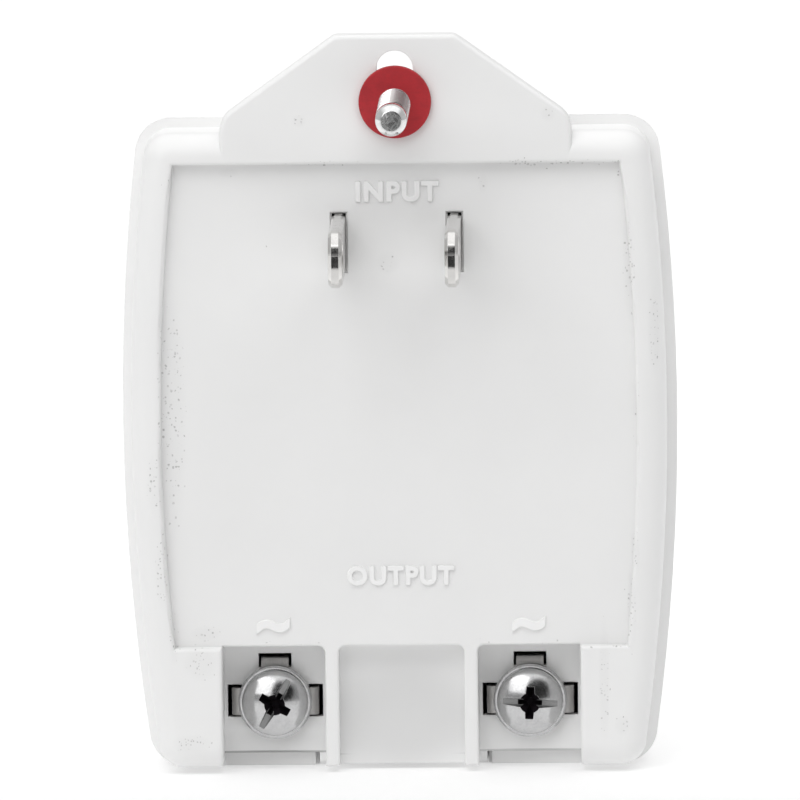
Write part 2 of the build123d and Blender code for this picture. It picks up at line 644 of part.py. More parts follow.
# Bobbin with two chambers, and what is wound in them
with BuildPart() as bobbin:
    coil_ring(tube_outside, tube_inside, BOBBIN_WALL, BOBBIN_GAP, bobbin_bottom, bobbin_top - bobbin_bottom)
    for flange in (bobbin_bottom, middle_flange, bobbin_top - BOBBIN_WALL):
        coil_ring(flange_size, tube_inside, FLANGE_CORNER_RADIUS, BOBBIN_GAP, flange, BOBBIN_WALL)
write(bobbin, "bobbin")

for winding, chamber_bottom in (("primary", primary_bottom), ("secondary", secondary_bottom)):
    with BuildPart() as coil:
        coil_ring(
            winding_outside, tube_outside, WINDING_CORNER_RADIUS, BOBBIN_WALL,
            chamber_bottom, chamber_height,
        )
    write(coil, f"{winding}_winding")
    with BuildPart() as tape:
        tape_corner = WINDING_CORNER_RADIUS + TAPE_THICKNESS
        coil_ring(
            tape_outside, winding_outside, tape_corner, WINDING_CORNER_RADIUS,
            chamber_bottom, chamber_height,
        )
    write(tape, f"{winding}_tape")


def lead(points, diameter, bend):
    """Round wire along straight runs and arcs, in the active part."""
    with BuildLine() as route:
        FilletPolyline(*points, radius=bend)
    with BuildSketch(Plane(origin=route.line @ 0, z_dir=route.line % 0)) as section:
        Circle(diameter / 2)
    sweep(section.sketch, path=route.line)


# Thermal cutoff in the left lead, lying on the primary tape
cutoff_level = primary_bottom + chamber_height / 2 - CUTOFF_DIAMETER / 2
cutoff_depth = tape_front - LEAD_GAP - CUTOFF_DIAMETER / 2
with BuildPart() as thermal_cutoff:
    with BuildSketch(Plane.YZ) as cutoff_end:
        with Locations((cutoff_depth, cutoff_level)):
            Circle(CUTOFF_DIAMETER / 2)
    extrude(amount=CUTOFF_LENGTH / 2, both=True)
    chamfer(thermal_cutoff.edges(), CUTOFF_EDGE)
    wire_end = CUTOFF_LENGTH / 2 + CUTOFF_WIRE_LENGTH
    lead(
        [
            (CUTOFF_LENGTH / 2, cutoff_depth, cutoff_level),
            (wire_end, cutoff_depth, cutoff_level),
            (wire_end, tape_front, cutoff_level),
        ],
        CUTOFF_WIRE_DIAMETER,
        CUTOFF_WIRE_BEND,
    )
write(thermal_cutoff, "thermal_cutoff")

# Leads from the coil to the blades' tails
tail_side = BLADE_SPACING / 2 + BLADE_THICKNESS / 2
tail_depth = boss_back + SEAT_GAP + SHOULDER_LENGTH + TAIL_LENGTH / 2
primary_level = primary_bottom + chamber_height - PRIMARY_LEAD_DIAMETER
lead_reach = flange_size[0] / 2 + LEAD_GAP + PRIMARY_LEAD_DIAMETER / 2
lead_starts = {
    "left": (-CUTOFF_LENGTH / 2, cutoff_depth, cutoff_level),
    "right": (LEAD_START, tape_front - LEAD_GAP - PRIMARY_LEAD_DIAMETER / 2, primary_level),
}
for side, sign in SIDES.items():
    with BuildPart() as primary_lead:
        start = lead_starts[side]
        lead(
            [
                start,
                (sign * lead_reach, start[1], start[2]),
                (sign * lead_reach, tail_depth, 0),
                (sign * tail_side, tail_depth, 0),
            ],
            PRIMARY_LEAD_DIAMETER,
            PRIMARY_LEAD_BEND,
        )
    write(primary_lead, f"primary_lead_{side}")

# Leads from the coil down to the terminal plates' lugs
lug_top = terminal_level + LEG_REACH
lug_depth = (HOUSING_DEPTH + plate_front + LUG_LENGTH) / 2
secondary_depth = flange_front - LEAD_GAP - SECONDARY_LEAD_DIAMETER / 2
secondary_level = secondary_bottom + chamber_height / 2
for side, sign in SIDES.items():
    terminal_x = sign * terminal_offset
    with BuildPart() as secondary_lead:
        lead(
            [
                (sign * LEAD_START, secondary_depth, secondary_level),
                (terminal_x, secondary_depth, secondary_level),
                (terminal_x, secondary_depth, bobbin_bottom - SECONDARY_LEAD_DIAMETER),
                (terminal_x, lug_depth, lug_top + SECONDARY_LEAD_BEND),
                (terminal_x, lug_depth, lug_top),
            ],
            SECONDARY_LEAD_DIAMETER,
            SECONDARY_LEAD_BEND,
        )
    write(secondary_lead, f"secondary_lead_{side}")
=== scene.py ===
"""Looks of the plug-in transformer: finishes, raised marks, cut screws and a pale studio."""

import math

import bmesh
import bpy
from mathutils import Matrix, Vector


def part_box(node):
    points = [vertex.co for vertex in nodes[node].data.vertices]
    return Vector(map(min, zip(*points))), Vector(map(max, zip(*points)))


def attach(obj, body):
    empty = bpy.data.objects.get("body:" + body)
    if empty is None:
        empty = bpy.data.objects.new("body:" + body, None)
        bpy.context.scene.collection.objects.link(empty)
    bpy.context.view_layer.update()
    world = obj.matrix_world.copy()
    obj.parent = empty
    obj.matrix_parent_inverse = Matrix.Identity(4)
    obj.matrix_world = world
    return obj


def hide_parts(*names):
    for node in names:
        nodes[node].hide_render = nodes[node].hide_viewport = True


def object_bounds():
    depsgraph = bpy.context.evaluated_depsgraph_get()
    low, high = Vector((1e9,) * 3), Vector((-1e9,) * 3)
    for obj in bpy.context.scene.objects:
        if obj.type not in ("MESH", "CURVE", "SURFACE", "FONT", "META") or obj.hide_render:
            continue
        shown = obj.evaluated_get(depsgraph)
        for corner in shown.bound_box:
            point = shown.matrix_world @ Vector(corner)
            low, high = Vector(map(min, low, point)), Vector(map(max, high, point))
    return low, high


MM = 0.001

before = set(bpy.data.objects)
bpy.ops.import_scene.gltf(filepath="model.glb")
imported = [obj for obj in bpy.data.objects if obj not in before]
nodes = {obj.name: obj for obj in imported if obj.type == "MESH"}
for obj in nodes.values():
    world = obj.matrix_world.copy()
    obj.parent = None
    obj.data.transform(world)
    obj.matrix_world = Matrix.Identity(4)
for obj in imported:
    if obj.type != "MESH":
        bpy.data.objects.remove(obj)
cad_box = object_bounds()

# Camera, as the photograph was taken
PICTURE = 800  # pixels across
SENSOR_WIDTH = 36
CLIP_END = 100
CAMERA_AZIMUTH = math.radians(1.42)
CAMERA_ELEVATION = math.radians(7.41)
CAMERA_ROLL = math.radians(0.63)
CAMERA_DISTANCE = 2.3
PIXELS_PER_METRE = 9117.0  # at the aim
AIM = Vector((0.0002, 0.0, -0.01727))

# Case, in millimetres
HALF_WIDTH = 30.5
WIDEST_LEVEL = -19.5
SIDE_ARC_RADIUS = 255.0
RECESS_INSET = 4.4
RECESS_TOP = 8.8
RECESS_BOTTOM = -44.7
PANEL_DEPTH = 1.5


# Piece helpers

UPRIGHT = (math.radians(90), 0, 0)  # stands a flat piece up, its face towards the wall


def deselect():
    """Leave nothing selected, so that the next operator acts on the new piece alone."""
    if bpy.context.object and bpy.context.object.mode != "OBJECT":
        bpy.ops.object.mode_set(mode="OBJECT")
    bpy.ops.object.select_all(action="DESELECT")


def pick(piece):
    """Select one piece alone and make it active."""
    deselect()
    piece.select_set(True)
    bpy.context.view_layer.objects.active = piece


def settle():
    """Write the selected piece's place, turn and scale into its mesh."""
    bpy.ops.object.transform_apply(location=True, rotation=True, scale=True)


def twin(piece, name):
    """Copy of a piece, with a mesh of its own."""
    other = piece.copy()
    other.data = piece.data.copy()
    other.name = name
    bpy.context.scene.collection.objects.link(other)
    return other


def edit(piece):
    """Go into edit mode on one piece with nothing of its mesh selected."""
    pick(piece)
    bpy.ops.object.mode_set(mode="EDIT")
    bpy.ops.mesh.select_mode(type="FACE")
    bpy.ops.mesh.select_all(action="DESELECT")


def merge_doubles(piece, distance, turn_normals):
    """Join points that lie together, and turn the normals outward where that is asked."""
    edit(piece)
    bpy.ops.mesh.select_all(action="SELECT")
    bpy.ops.mesh.remove_doubles(threshold=distance)
    if turn_normals:
        bpy.ops.mesh.normals_make_consistent(inside=False)
    bpy.ops.object.mode_set(mode="OBJECT")


def use_modifier(piece, kind, **settings):
    """Add a modifier, set it, and apply it."""
    pick(piece)
    modifier = piece.modifiers.new(kind.lower(), kind)
    for name, value in settings.items():
        setattr(modifier, name, value)
    bpy.ops.object.modifier_apply(modifier=modifier.name)


def combine(piece, tool, operation):
    """Add a tool's form to a piece or cut it away, and delete the tool."""
    settings = {"operation": operation, "solver": "EXACT", "material_mode": "TRANSFER"}
    use_modifier(piece, "BOOLEAN", object=tool, **settings)
    bpy.data.objects.remove(tool)


# Node helpers


def grey(value):
    """Opaque grey."""
    return (value, value, value, 1.0)


def feed(tree, socket, value):
    """Give a socket a link or a value."""
    if isinstance(value, bpy.types.NodeSocket):
        tree.links.new(value, socket)
    else:
        socket.default_value = value


def put(tree, kind, inputs=None, **settings):
    """Add a node, set its options, and feed its inputs."""
    node = tree.nodes.new(kind)
    for name, value in settings.items():
        setattr(node, name, value)
    for socket, value in (inputs or {}).items():
        feed(tree, node.inputs[socket], value)
    return node


def math_node(tree, operation, first, second=0.0, third=0.0):
    """One step of arithmetic, as a socket."""
    terms = {0: first, 1: second, 2: third}
    return put(tree, "ShaderNodeMath", terms, operation=operation).outputs[0]


def times(tree, first, second):
    """Product of two values."""
    return math_node(tree, "MULTIPLY", first, second)


def minus(tree, first, second):
    """Difference of two values."""
    return math_node(tree, "SUBTRACT", first, second)


def remap(tree, value, low, high, new_low=0.0, new_high=1.0, smooth=True):
    """A value carried from one range to another and held inside it."""
    kind = "SMOOTHSTEP" if smooth else "LINEAR"
    inputs = {"Value": value, "From Min": low, "From Max": high}
    inputs |= {"To Min": new_low, "To Max": new_high}
    return put(tree, "ShaderNodeMapRange", inputs, interpolation_type=kind).outputs["Result"]


MIDTONES = (0.3, 0.7)  # where a noise pattern has most of its values


def vary(tree, pattern, low, high):
    """A value that goes from one end to the other with a noise pattern."""
    return remap(tree, pattern, *MIDTONES, low, high)


def blend_colour(tree, share, first, second):
    """Two colours mixed by a share."""
    inputs = {0: share, 6: first, 7: second}
    return put(tree, "ShaderNodeMix", inputs, data_type="RGBA").outputs[2]


def split(tree, place):
    """X, Y and Z of a place."""
    return put(tree, "ShaderNodeSeparateXYZ", {0: place}).outputs


def noise(tree, place, scale, detail=2.0, roughness=0.5, distortion=0.0):
    """Cloudy noise from 0 to 1, at a number of clouds to the millimetre."""
    inputs = {"Vector": place, "Scale": scale, "Detail": detail}
    inputs |= {"Roughness": roughness, "Distortion": distortion}
    return put(tree, "ShaderNodeTexNoise", inputs).outputs["Fac"]


def bands(tree, place, axis, scale, distortion):
    """Even bands across an axis."""
    inputs = {"Vector": place, "Scale": scale, "Distortion": distortion, "Detail": 1.0}
    return put(tree, "ShaderNodeTexWave", inputs, bands_direction=axis).outputs["Fac"]


def enlarge(tree, vector, scale):
    """Vector made longer or shorter by one scale."""
    node = put(tree, "ShaderNodeVectorMath", {0: vector, "Scale": scale}, operation="SCALE")
    return node.outputs["Vector"]


def stretch(tree, place, scale):
    """Coordinates stretched along the axes."""
    return put(tree, "ShaderNodeMapping", {"Vector": place, "Scale": scale}).outputs["Vector"]


def bump(tree, height, strength, distance, normal=None):
    """Small relief, with its depth in millimetres."""
    inputs = {"Height": height, "Strength": strength, "Distance": distance * MM}
    if normal is not None:
        inputs["Normal"] = normal
    return put(tree, "ShaderNodeBump", inputs).outputs["Normal"]


def soft_edges(tree, radius):
    """Normals that round off the sharp edges of a solid."""
    return put(tree, "ShaderNodeBevel", {"Radius": radius * MM}, samples=4).outputs["Normal"]


def new_group(name, inputs, outputs):
    """A node group with named inputs and number outputs: its tree and its two ends."""
    tree = bpy.data.node_groups.new(name, "ShaderNodeTree")
    for socket, kind, value in inputs:
        entry = tree.interface.new_socket(name=socket, in_out="INPUT", socket_type=kind)
        if value is not None:
            entry.default_value = value
    for socket in outputs:
        tree.interface.new_socket(name=socket, in_out="OUTPUT", socket_type="NodeSocketFloat")
    given = tree.nodes.new("NodeGroupInput").outputs
    made = tree.nodes.new("NodeGroupOutput").inputs
    return tree, given, made


def use_group(tree, group, inputs):
    """Place a node group in a material, and give its outputs."""
    return put(tree, "ShaderNodeGroup", inputs, node_tree=group).outputs


def new_material(name):
    """A material with its tree, its shader and the place in millimetres."""
    material = bpy.data.materials.new(name)
    material.use_nodes = True
    tree = material.node_tree
    tree.nodes.clear()
    shader = put(tree, "ShaderNodeBsdfPrincipled")
    put(tree, "ShaderNodeOutputMaterial", {"Surface": shader.outputs["BSDF"]})
    place = enlarge(tree, put(tree, "ShaderNodeTexCoord").outputs["Object"], 1 / MM)
    return material, tree, shader, place


def wire(tree, shader, **sockets):
    """Feed the shader's inputs by name, with an underscore for a space."""
    for name, value in sockets.items():
        feed(tree, shader.inputs[name.replace("_", " ")], value)


# Shared effects

PLACE = ("Place", "NodeSocketVector", None)

RIPPLES_PER_MM = 0.18
RIPPLE_WEIGHT = 1.2  # beside the fine grain
CLOUDS_PER_MM = 0.07

WOBBLES_PER_MM = 3.0
WOBBLE = 0.35  # of a speck's outline, in millimetres
LEAST_SPECK = 0.35  # of the largest, in size and in darkness
SPECK_FADE = 0.5  # of a speck's radius

HAZE_PER_MM = 0.8
HAZE_BETWEEN_MARKS = 0.5

# Depths between which an effect sets in, in millimetres
RECESS_EDGE_DEPTHS = (PANEL_DEPTH + 1.0, PANEL_DEPTH + 0.5)
DIRTY_DEPTHS = (PANEL_DEPTH + 0.8, PANEL_DEPTH + 0.3)
BEHIND_PANEL_DEPTHS = (PANEL_DEPTH + 1.0, PANEL_DEPTH + 2.5)

OVAL_FADE = (2.6, 0.2)  # square of the distance, in half widths, from bare to full


def make_grain():
    """Fine relief and faint clouds of a moulded surface."""
    inputs = [PLACE, ("Grains per mm", "NodeSocketFloat", 4.0)]
    tree, given, made = new_group("moulded_grain", inputs, ["Height", "Clouds"])
    place = given["Place"]
    fine = noise(tree, place, given["Grains per mm"], detail=3.0, roughness=0.6)
    ripple = noise(tree, place, RIPPLES_PER_MM, detail=1.0)
    height = math_node(tree, "MULTIPLY_ADD", ripple, RIPPLE_WEIGHT, fine)
    tree.links.new(height, made["Height"])
    clouds = noise(tree, place, CLOUDS_PER_MM, detail=3.0, roughness=0.55)
    tree.links.new(clouds, made["Clouds"])
    return tree


def make_specks():
    """Scattered small dark specks, irregular in shape."""
    inputs = [
        PLACE,
        ("Cell mm", "NodeSocketFloat", 3.0),
        ("Share", "NodeSocketFloat", 0.3),
        ("Size", "NodeSocketFloat", 0.05),
    ]
    tree, given, made = new_group("dirt_specks", inputs, ["Mask"])
    pattern = {"Vector": given["Place"], "Scale": WOBBLES_PER_MM, "Detail": 2.0}
    wobble = put(tree, "ShaderNodeTexNoise", pattern).outputs["Color"]
    terms = {0: given["Place"], 1: enlarge(tree, wobble, WOBBLE)}
    place = put(tree, "ShaderNodeVectorMath", terms, operation="ADD").outputs["Vector"]
    scale = math_node(tree, "DIVIDE", 1.0, given["Cell mm"])
    cells = put(tree, "ShaderNodeTexVoronoi", {"Vector": place, "Scale": scale}).outputs
    chance = put(tree, "ShaderNodeSeparateColor", {"Color": cells["Color"]}).outputs
    chosen = math_node(tree, "LESS_THAN", chance["Red"], given["Share"])
    size = remap(tree, chance["Green"], 0.0, 1.0, LEAST_SPECK, 1.0, smooth=False)
    radius = times(tree, given["Size"], size)
    near = minus(tree, 1.0, math_node(tree, "DIVIDE", cells["Distance"], radius))
    darkness = remap(tree, chance["Blue"], 0.0, 1.0, LEAST_SPECK, 1.0, smooth=False)
    spot = times(tree, remap(tree, near, 0.0, SPECK_FADE), darkness)
    tree.links.new(times(tree, spot, chosen), made["Mask"])
    return tree


def make_recess_edge():
    """How near a place is to the recessed panel's edge, from 1 at the edge to 0 past a width."""
    inputs = [PLACE, ("Width mm", "NodeSocketFloat", 2.0)]
    tree, given, made = new_group("recess_edge", inputs, ["Mask"])
    x, y, z = split(tree, given["Place"])
    drop = minus(tree, z, WIDEST_LEVEL)
    diameter = 2 * (SIDE_ARC_RADIUS - RECESS_INSET)
    sag = math_node(tree, "DIVIDE", times(tree, drop, drop), diameter)
    half = minus(tree, HALF_WIDTH - RECESS_INSET, sag)
    side = minus(tree, half, math_node(tree, "ABSOLUTE", x))
    top = minus(tree, RECESS_TOP, z)
    bottom = minus(tree, z, RECESS_BOTTOM)
    inside = math_node(tree, "MINIMUM", side, math_node(tree, "MINIMUM", top, bottom))
    near = math_node(tree, "DIVIDE", math_node(tree, "ABSOLUTE", inside), given["Width mm"])
    front = remap(tree, y, *RECESS_EDGE_DEPTHS)
    tree.links.new(times(tree, remap(tree, near, 1.0, 0.0), front), made["Mask"])
    return tree


def make_scratches():
    """Fine marks along one direction of a worked metal surface."""
    inputs = [PLACE, ("Stretch", "NodeSocketVector", (8.0, 0.4, 8.0))]
    tree, given, made = new_group("fine_scratches", inputs, ["Height", "Haze"])
    terms = {0: given["Place"], 1: given["Stretch"]}
    along = put(tree, "ShaderNodeVectorMath", terms, operation="MULTIPLY").outputs["Vector"]
    lines = noise(tree, along, scale=1.0, detail=4.0, roughness=0.7)
    tree.links.new(lines, made["Height"])
    clouds = noise(tree, given["Place"], HAZE_PER_MM, detail=3.0, roughness=0.6)
    haze = times(tree, clouds, vary(tree, lines, HAZE_BETWEEN_MARKS, 1.0))
    tree.links.new(haze, made["Haze"])
    return tree


def make_dirt_and_shade_patch():
    """Soft oval seen from the wall side, for dirt and for painted shade: at any depth, and on the
    panel and rim alone.
    """
    inputs = [
        PLACE,
        ("Middle X", "NodeSocketFloat", 0.0),
        ("Middle Z", "NodeSocketFloat", 0.0),
        ("Half Width", "NodeSocketFloat", 1.0),
        ("Half Height", "NodeSocketFloat", 1.0),
    ]
    tree, given, made = new_group("dirt_and_shade_patch", inputs, ["Oval", "Mask"])
    x, y, z = split(tree, given["Place"])
    across = minus(tree, x, given["Middle X"])
    across = math_node(tree, "DIVIDE", across, given["Half Width"])
    along = minus(tree, z, given["Middle Z"])
    along = math_node(tree, "DIVIDE", along, given["Half Height"])
    square = math_node(tree, "MULTIPLY_ADD", across, across, times(tree, along, along))
    oval = remap(tree, square, *OVAL_FADE)
    tree.links.new(oval, made["Oval"])
    tree.links.new(times(tree, oval, remap(tree, y, *DIRTY_DEPTHS)), made["Mask"])
    return tree


GRAIN = make_grain()
SPECKS = make_specks()
DIRT_AND_SHADE_PATCH = make_dirt_and_shade_patch()
RECESS_EDGE = make_recess_edge()
SCRATCHES = make_scratches()


# Moulded plastic

# Dirty places on the wall side: middle across and up, half width and half height, in millimetres
DIRT = (
    (-24.9, -19.0, 1.1, 9.5),
    (-26.8, -26.5, 0.7, 2.5),
    (-26.1, -36.0, 0.6, 3.0),
    (-24.9, -43.3, 0.4, 2.2),
    (-21.5, -43.2, 1.2, 0.6),
    (-22.0, -46.3, 1.4, 1.4),
    (-23.0, -55.2, 1.6, 0.7),
    (-18.4, 7.8, 0.8, 0.4),
    (-7.5, 8.8, 4.0, 0.3),
    (-1.0, -2.3, 0.9, 0.9),
    (9.5, 6.4, 0.4, 0.8),
    (17.8, 8.8, 6.0, 0.35),
    (25.4, -2.0, 0.5, 4.5),
    (28.1, -10.0, 0.5, 3.4),
    (25.9, -34.3, 0.35, 1.8),
    (25.4, -40.8, 0.4, 3.4),
    (23.9, -44.8, 1.3, 0.2),
    (22.3, -48.6, 0.45, 4.6),
    (24.2, -53.5, 0.6, 0.8),
    (16.7, 14.2, 0.6, 0.6),
    (-10.5, 13.6, 0.5, 0.5),
)

# Painted shade on the wells' floors, darker towards their bottom, and painted shadow lines in the
# gaps where two of them end, with how dark each is
WELL_PAINTED_SHADES = {
    (0.0, -52.5, 6.0, 6.0): 0.16,
    (0.0, -53.5, 7.0, 4.0): 0.13,
    (-14.6, -56.3, 6.0, 1.2): 0.1,
    (-14.6, -57.12, 6.0, 0.13): 0.7,
    (14.6, -57.12, 6.0, 0.13): 0.45,
}

FRONT_TONES = ((0.815, 0.815, 0.813, 1.0), (0.865, 0.864, 0.86, 1.0))
# Lighter than the front: partly a lighter moulding, partly painted light for the brighter edges
# of the cover's lip
COVER_TONES = ((0.875, 0.875, 0.873, 1.0), (0.92, 0.919, 0.915, 1.0))
# Painted light: the plastic behind the panel, in the wells and round the sides, is given a
# lighter tone
PAINTED_LIGHT_TONE = (0.9, 0.9, 0.897, 1.0)  # in the wells and round the sides
# Dark grey for the dirt's smear, and for the painted shade and painted shadow lines in the wells
GRIME_AND_SHADE = grey(0.2)
SPECK_COLOUR = (0.16, 0.15, 0.145, 1.0)
SPECK_DARKNESS = 0.5
FEW_SPECKS = {"Cell mm": 3.6, "Share": 0.3, "Size": 0.045}
GATHERED_SPECKS = {"Cell mm": 0.34, "Size": 0.48}
GATHERED_SHARE = 0.7
SMEAR = 0.04
EDGE_DIRT_WIDTH = 1.0  # millimetres
EDGE_PATCHES_PER_MM = 0.2
EDGE_PATCH_RANGE = (0.5, 0.65)
EDGE_PATCH_MOST = 0.5
CASE_SHINE = (0.36, 0.46)
CASE_EDGE_ROUND = 0.12  # millimetres
GRAIN_DEPTH = 0.02  # millimetres


def patch(tree, place, oval, output):
    """One of the soft ovals, given by its middle and half sizes."""
    sizes = dict(zip(("Middle X", "Middle Z", "Half Width", "Half Height"), oval))
    return use_group(tree, DIRT_AND_SHADE_PATCH, {"Place": place, **sizes})[output]


def dirt_and_painted_shading(tree, place, colour, specks):
    """Dirt on the panel and rim; painted light, a lighter tone, behind them; painted shade and
    shadow lines in the wells.
    """
    edge = use_group(tree, RECESS_EDGE, {"Place": place, "Width mm": EDGE_DIRT_WIDTH})["Mask"]
    patches = noise(tree, place, EDGE_PATCHES_PER_MM)
    patches = remap(tree, patches, *EDGE_PATCH_RANGE, 0.0, EDGE_PATCH_MOST)
    soiled = times(tree, edge, patches)
    for oval in DIRT:
        soiled = math_node(tree, "MAXIMUM", soiled, patch(tree, place, oval, "Mask"))
    share = times(tree, soiled, GATHERED_SHARE)
    gathered = use_group(tree, SPECKS, {"Place": place, "Share": share, **GATHERED_SPECKS})
    specks = math_node(tree, "MAXIMUM", specks, gathered["Mask"])
    colour = blend_colour(tree, times(tree, soiled, SMEAR), colour, GRIME_AND_SHADE)
    # Painted light: a lighter tone behind the panel
    behind = remap(tree, split(tree, place)["Y"], *BEHIND_PANEL_DEPTHS)
    colour = blend_colour(tree, behind, colour, PAINTED_LIGHT_TONE)
    # Painted shade on the wells' floors and painted shadow lines where two of them end
    for oval, strength in WELL_PAINTED_SHADES.items():
        shade = times(tree, patch(tree, place, oval, "Oval"), behind)
        colour = blend_colour(tree, times(tree, shade, strength), colour, GRIME_AND_SHADE)
    return colour, specks


def moulded_white(name, tones, grains_per_mm, relief, dirty_and_shaded):
    """Off-white moulded plastic with faint clouds and a few specks; if asked, dirt, and painted
    light and shade in the wells.
    """
    material, tree, shader, place = new_material(name)
    grain = use_group(tree, GRAIN, {"Place": place, "Grains per mm": grains_per_mm})
    colour = blend_colour(tree, grain["Clouds"], *tones)
    specks = use_group(tree, SPECKS, {"Place": place, **FEW_SPECKS})["Mask"]
    if dirty_and_shaded:
        colour, specks = dirt_and_painted_shading(tree, place, colour, specks)
    colour = blend_colour(tree, times(tree, specks, SPECK_DARKNESS), colour, SPECK_COLOUR)
    shine = vary(tree, grain["Clouds"], *CASE_SHINE)
    edges = soft_edges(tree, CASE_EDGE_ROUND)
    normal = bump(tree, grain["Height"], relief, GRAIN_DEPTH, edges)
    wire(tree, shader, Base_Color=colour, Roughness=shine, Normal=normal)
    wire(tree, shader, Specular_IOR_Level=0.45)
    return material


# Metal

HAZE_RANGE = (0.1, 0.7)
HAZE_ROUGHNESS = 0.16  # added where the haze is thickest
SCRATCH_DEPTH = 0.01  # millimetres
METAL_EDGE_ROUND = 0.06  # millimetres


def plated(name, colour, haze_colour, roughness, along, relief, metallic=1.0):
    """Bright plating over metal, with fine marks along one direction and a faint haze."""
    material, tree, shader, place = new_material(name)
    marks = use_group(tree, SCRATCHES, {"Place": place, "Stretch": along})
    tint = blend_colour(tree, marks["Haze"], colour, haze_colour)
    shine = remap(tree, marks["Haze"], *HAZE_RANGE, roughness, roughness + HAZE_ROUGHNESS)
    edges = soft_edges(tree, METAL_EDGE_ROUND)
    normal = bump(tree, marks["Height"], relief, SCRATCH_DEPTH, edges)
    wire(tree, shader, Base_Color=tint, Roughness=shine, Normal=normal, Metallic=metallic)
    return material


def recess_painted_shade():
    """Near-black metal in a driver's recess, as painted shade for its depth."""
    material, tree, shader, place = new_material("recess_painted_shade")
    marks = use_group(tree, SCRATCHES, {"Place": place, "Stretch": (5.0, 5.0, 5.0)})
    black, less_black = (0.004, 0.003, 0.004, 1.0), (0.014, 0.011, 0.014, 1.0)
    colour = blend_colour(tree, marks["Haze"], black, less_black)
    shine = remap(tree, marks["Haze"], *HAZE_RANGE, 0.6, 0.8)
    normal = bump(tree, marks["Height"], strength=0.3, distance=SCRATCH_DEPTH)
    wire(tree, shader, Base_Color=colour, Roughness=shine, Normal=normal)
    wire(tree, shader, Specular_IOR_Level=0.06)
    return material


def mottled_end():
    """Cut end of a bolt, with torn and smeared metal."""
    material, tree, shader, place = new_material("mottled_end")
    smears = noise(tree, place, scale=1.0, detail=3.0, roughness=0.6, distortion=1.0)
    colour = blend_colour(tree, remap(tree, smears, 0.36, 0.62), grey(0.22), grey(0.85))
    shine = vary(tree, smears, 0.5, 0.2)
    normal = bump(tree, smears, strength=0.6, distance=0.08)
    wire(tree, shader, Base_Color=colour, Roughness=shine, Normal=normal, Metallic=1.0)
    return material


def laminations():
    """Edges of a varnished stack of thin steel."""
    material, tree, shader, place = new_material("laminations")
    sheets = bands(tree, place, "Y", scale=0.63, distortion=0.15)
    rust = remap(tree, noise(tree, place, scale=0.3, detail=4.0), 0.55, 0.75)
    colour = blend_colour(tree, sheets, (0.045, 0.042, 0.04, 1.0), (0.13, 0.125, 0.12, 1.0))
    colour = blend_colour(tree, times(tree, rust, 0.5), colour, (0.16, 0.07, 0.03, 1.0))
    shine = remap(tree, rust, 0.0, 1.0, 0.32, 0.6)
    normal = bump(tree, sheets, strength=0.5, distance=0.05)
    wire(tree, shader, Base_Color=colour, Roughness=shine, Metallic=0.4, Normal=normal)
    return material


BANDS_PER_MM = 0.314  # scale of the bands that gives one to the millimetre


def enamelled_wire(name, turns_per_mm):
    """Close turns of enamelled copper wire round an upright axis."""
    material, tree, shader, place = new_material(name)
    turns = bands(tree, place, "Z", scale=BANDS_PER_MM * turns_per_mm, distortion=0.3)
    colour = blend_colour(tree, turns, (0.2, 0.055, 0.02, 1.0), (0.58, 0.21, 0.08, 1.0))
    shine = vary(tree, noise(tree, place, scale=0.5), 0.2, 0.35)
    wire(tree, shader, Base_Color=colour, Roughness=shine, Metallic=0.9, Coat_Weight=0.5)
    wire(tree, shader, Normal=bump(tree, turns, strength=0.8, distance=0.08))
    return material


# Fibre, bobbin, tape and leads

FIBRE_FLECKS = {"Cell mm": 1.4, "Share": 0.3, "Size": 0.1}
FLECK_DARKNESS = 0.75


def red_fibre():
    """Pressed red fibre with faint flecks."""
    material, tree, shader, place = new_material("red_fibre")
    fibres = stretch(tree, place, (1.0, 1.0, 3.5))
    fibres = noise(tree, fibres, scale=1.6, detail=4.0, roughness=0.65)
    flecks = use_group(tree, SPECKS, {"Place": place, **FIBRE_FLECKS})["Mask"]
    colour = blend_colour(tree, fibres, (0.36, 0.02, 0.026, 1.0), (0.5, 0.03, 0.038, 1.0))
    clouds = noise(tree, place, scale=0.55, detail=4.0, roughness=0.7)
    clouds = remap(tree, clouds, 0.35, 0.7, 0.0, 0.35)
    colour = blend_colour(tree, clouds, colour, (0.2, 0.02, 0.025, 1.0))
    flecks = times(tree, flecks, FLECK_DARKNESS)
    colour = blend_colour(tree, flecks, colour, (0.09, 0.015, 0.015, 1.0))
    shine = vary(tree, fibres, 0.5, 0.65)
    wire(tree, shader, Base_Color=colour, Roughness=shine, Specular_IOR_Level=0.3)
    wire(tree, shader, Normal=bump(tree, fibres, strength=0.35, distance=0.03))
    return material


def plain_plastic(name, tones, grains_per_mm, shine_range):
    """Plain moulded plastic or soft insulation with a fine grain."""
    material, tree, shader, place = new_material(name)
    grain = use_group(tree, GRAIN, {"Place": place, "Grains per mm": grains_per_mm})
    colour = blend_colour(tree, grain["Clouds"], *tones)
    shine = vary(tree, grain["Clouds"], *shine_range)
    normal = bump(tree, grain["Height"], strength=0.2, distance=GRAIN_DEPTH)
    wire(tree, shader, Base_Color=colour, Roughness=shine, Normal=normal)
    return material


def film_tape():
    """Yellow film wound round a coil, a little wrinkled."""
    material, tree, shader, place = new_material("film_tape")
    wrinkles = stretch(tree, place, (0.4, 0.4, 2.0))
    wrinkles = noise(tree, wrinkles, scale=0.6, detail=3.0)
    colour = blend_colour(tree, wrinkles, (0.6, 0.36, 0.03, 1.0), (0.75, 0.5, 0.06, 1.0))
    shine = vary(tree, wrinkles, 0.15, 0.3)
    normal = bump(tree, wrinkles, strength=0.4, distance=0.15)
    wire(tree, shader, Base_Color=colour, Roughness=shine, Normal=normal)
    return material


# Finishes of the solids

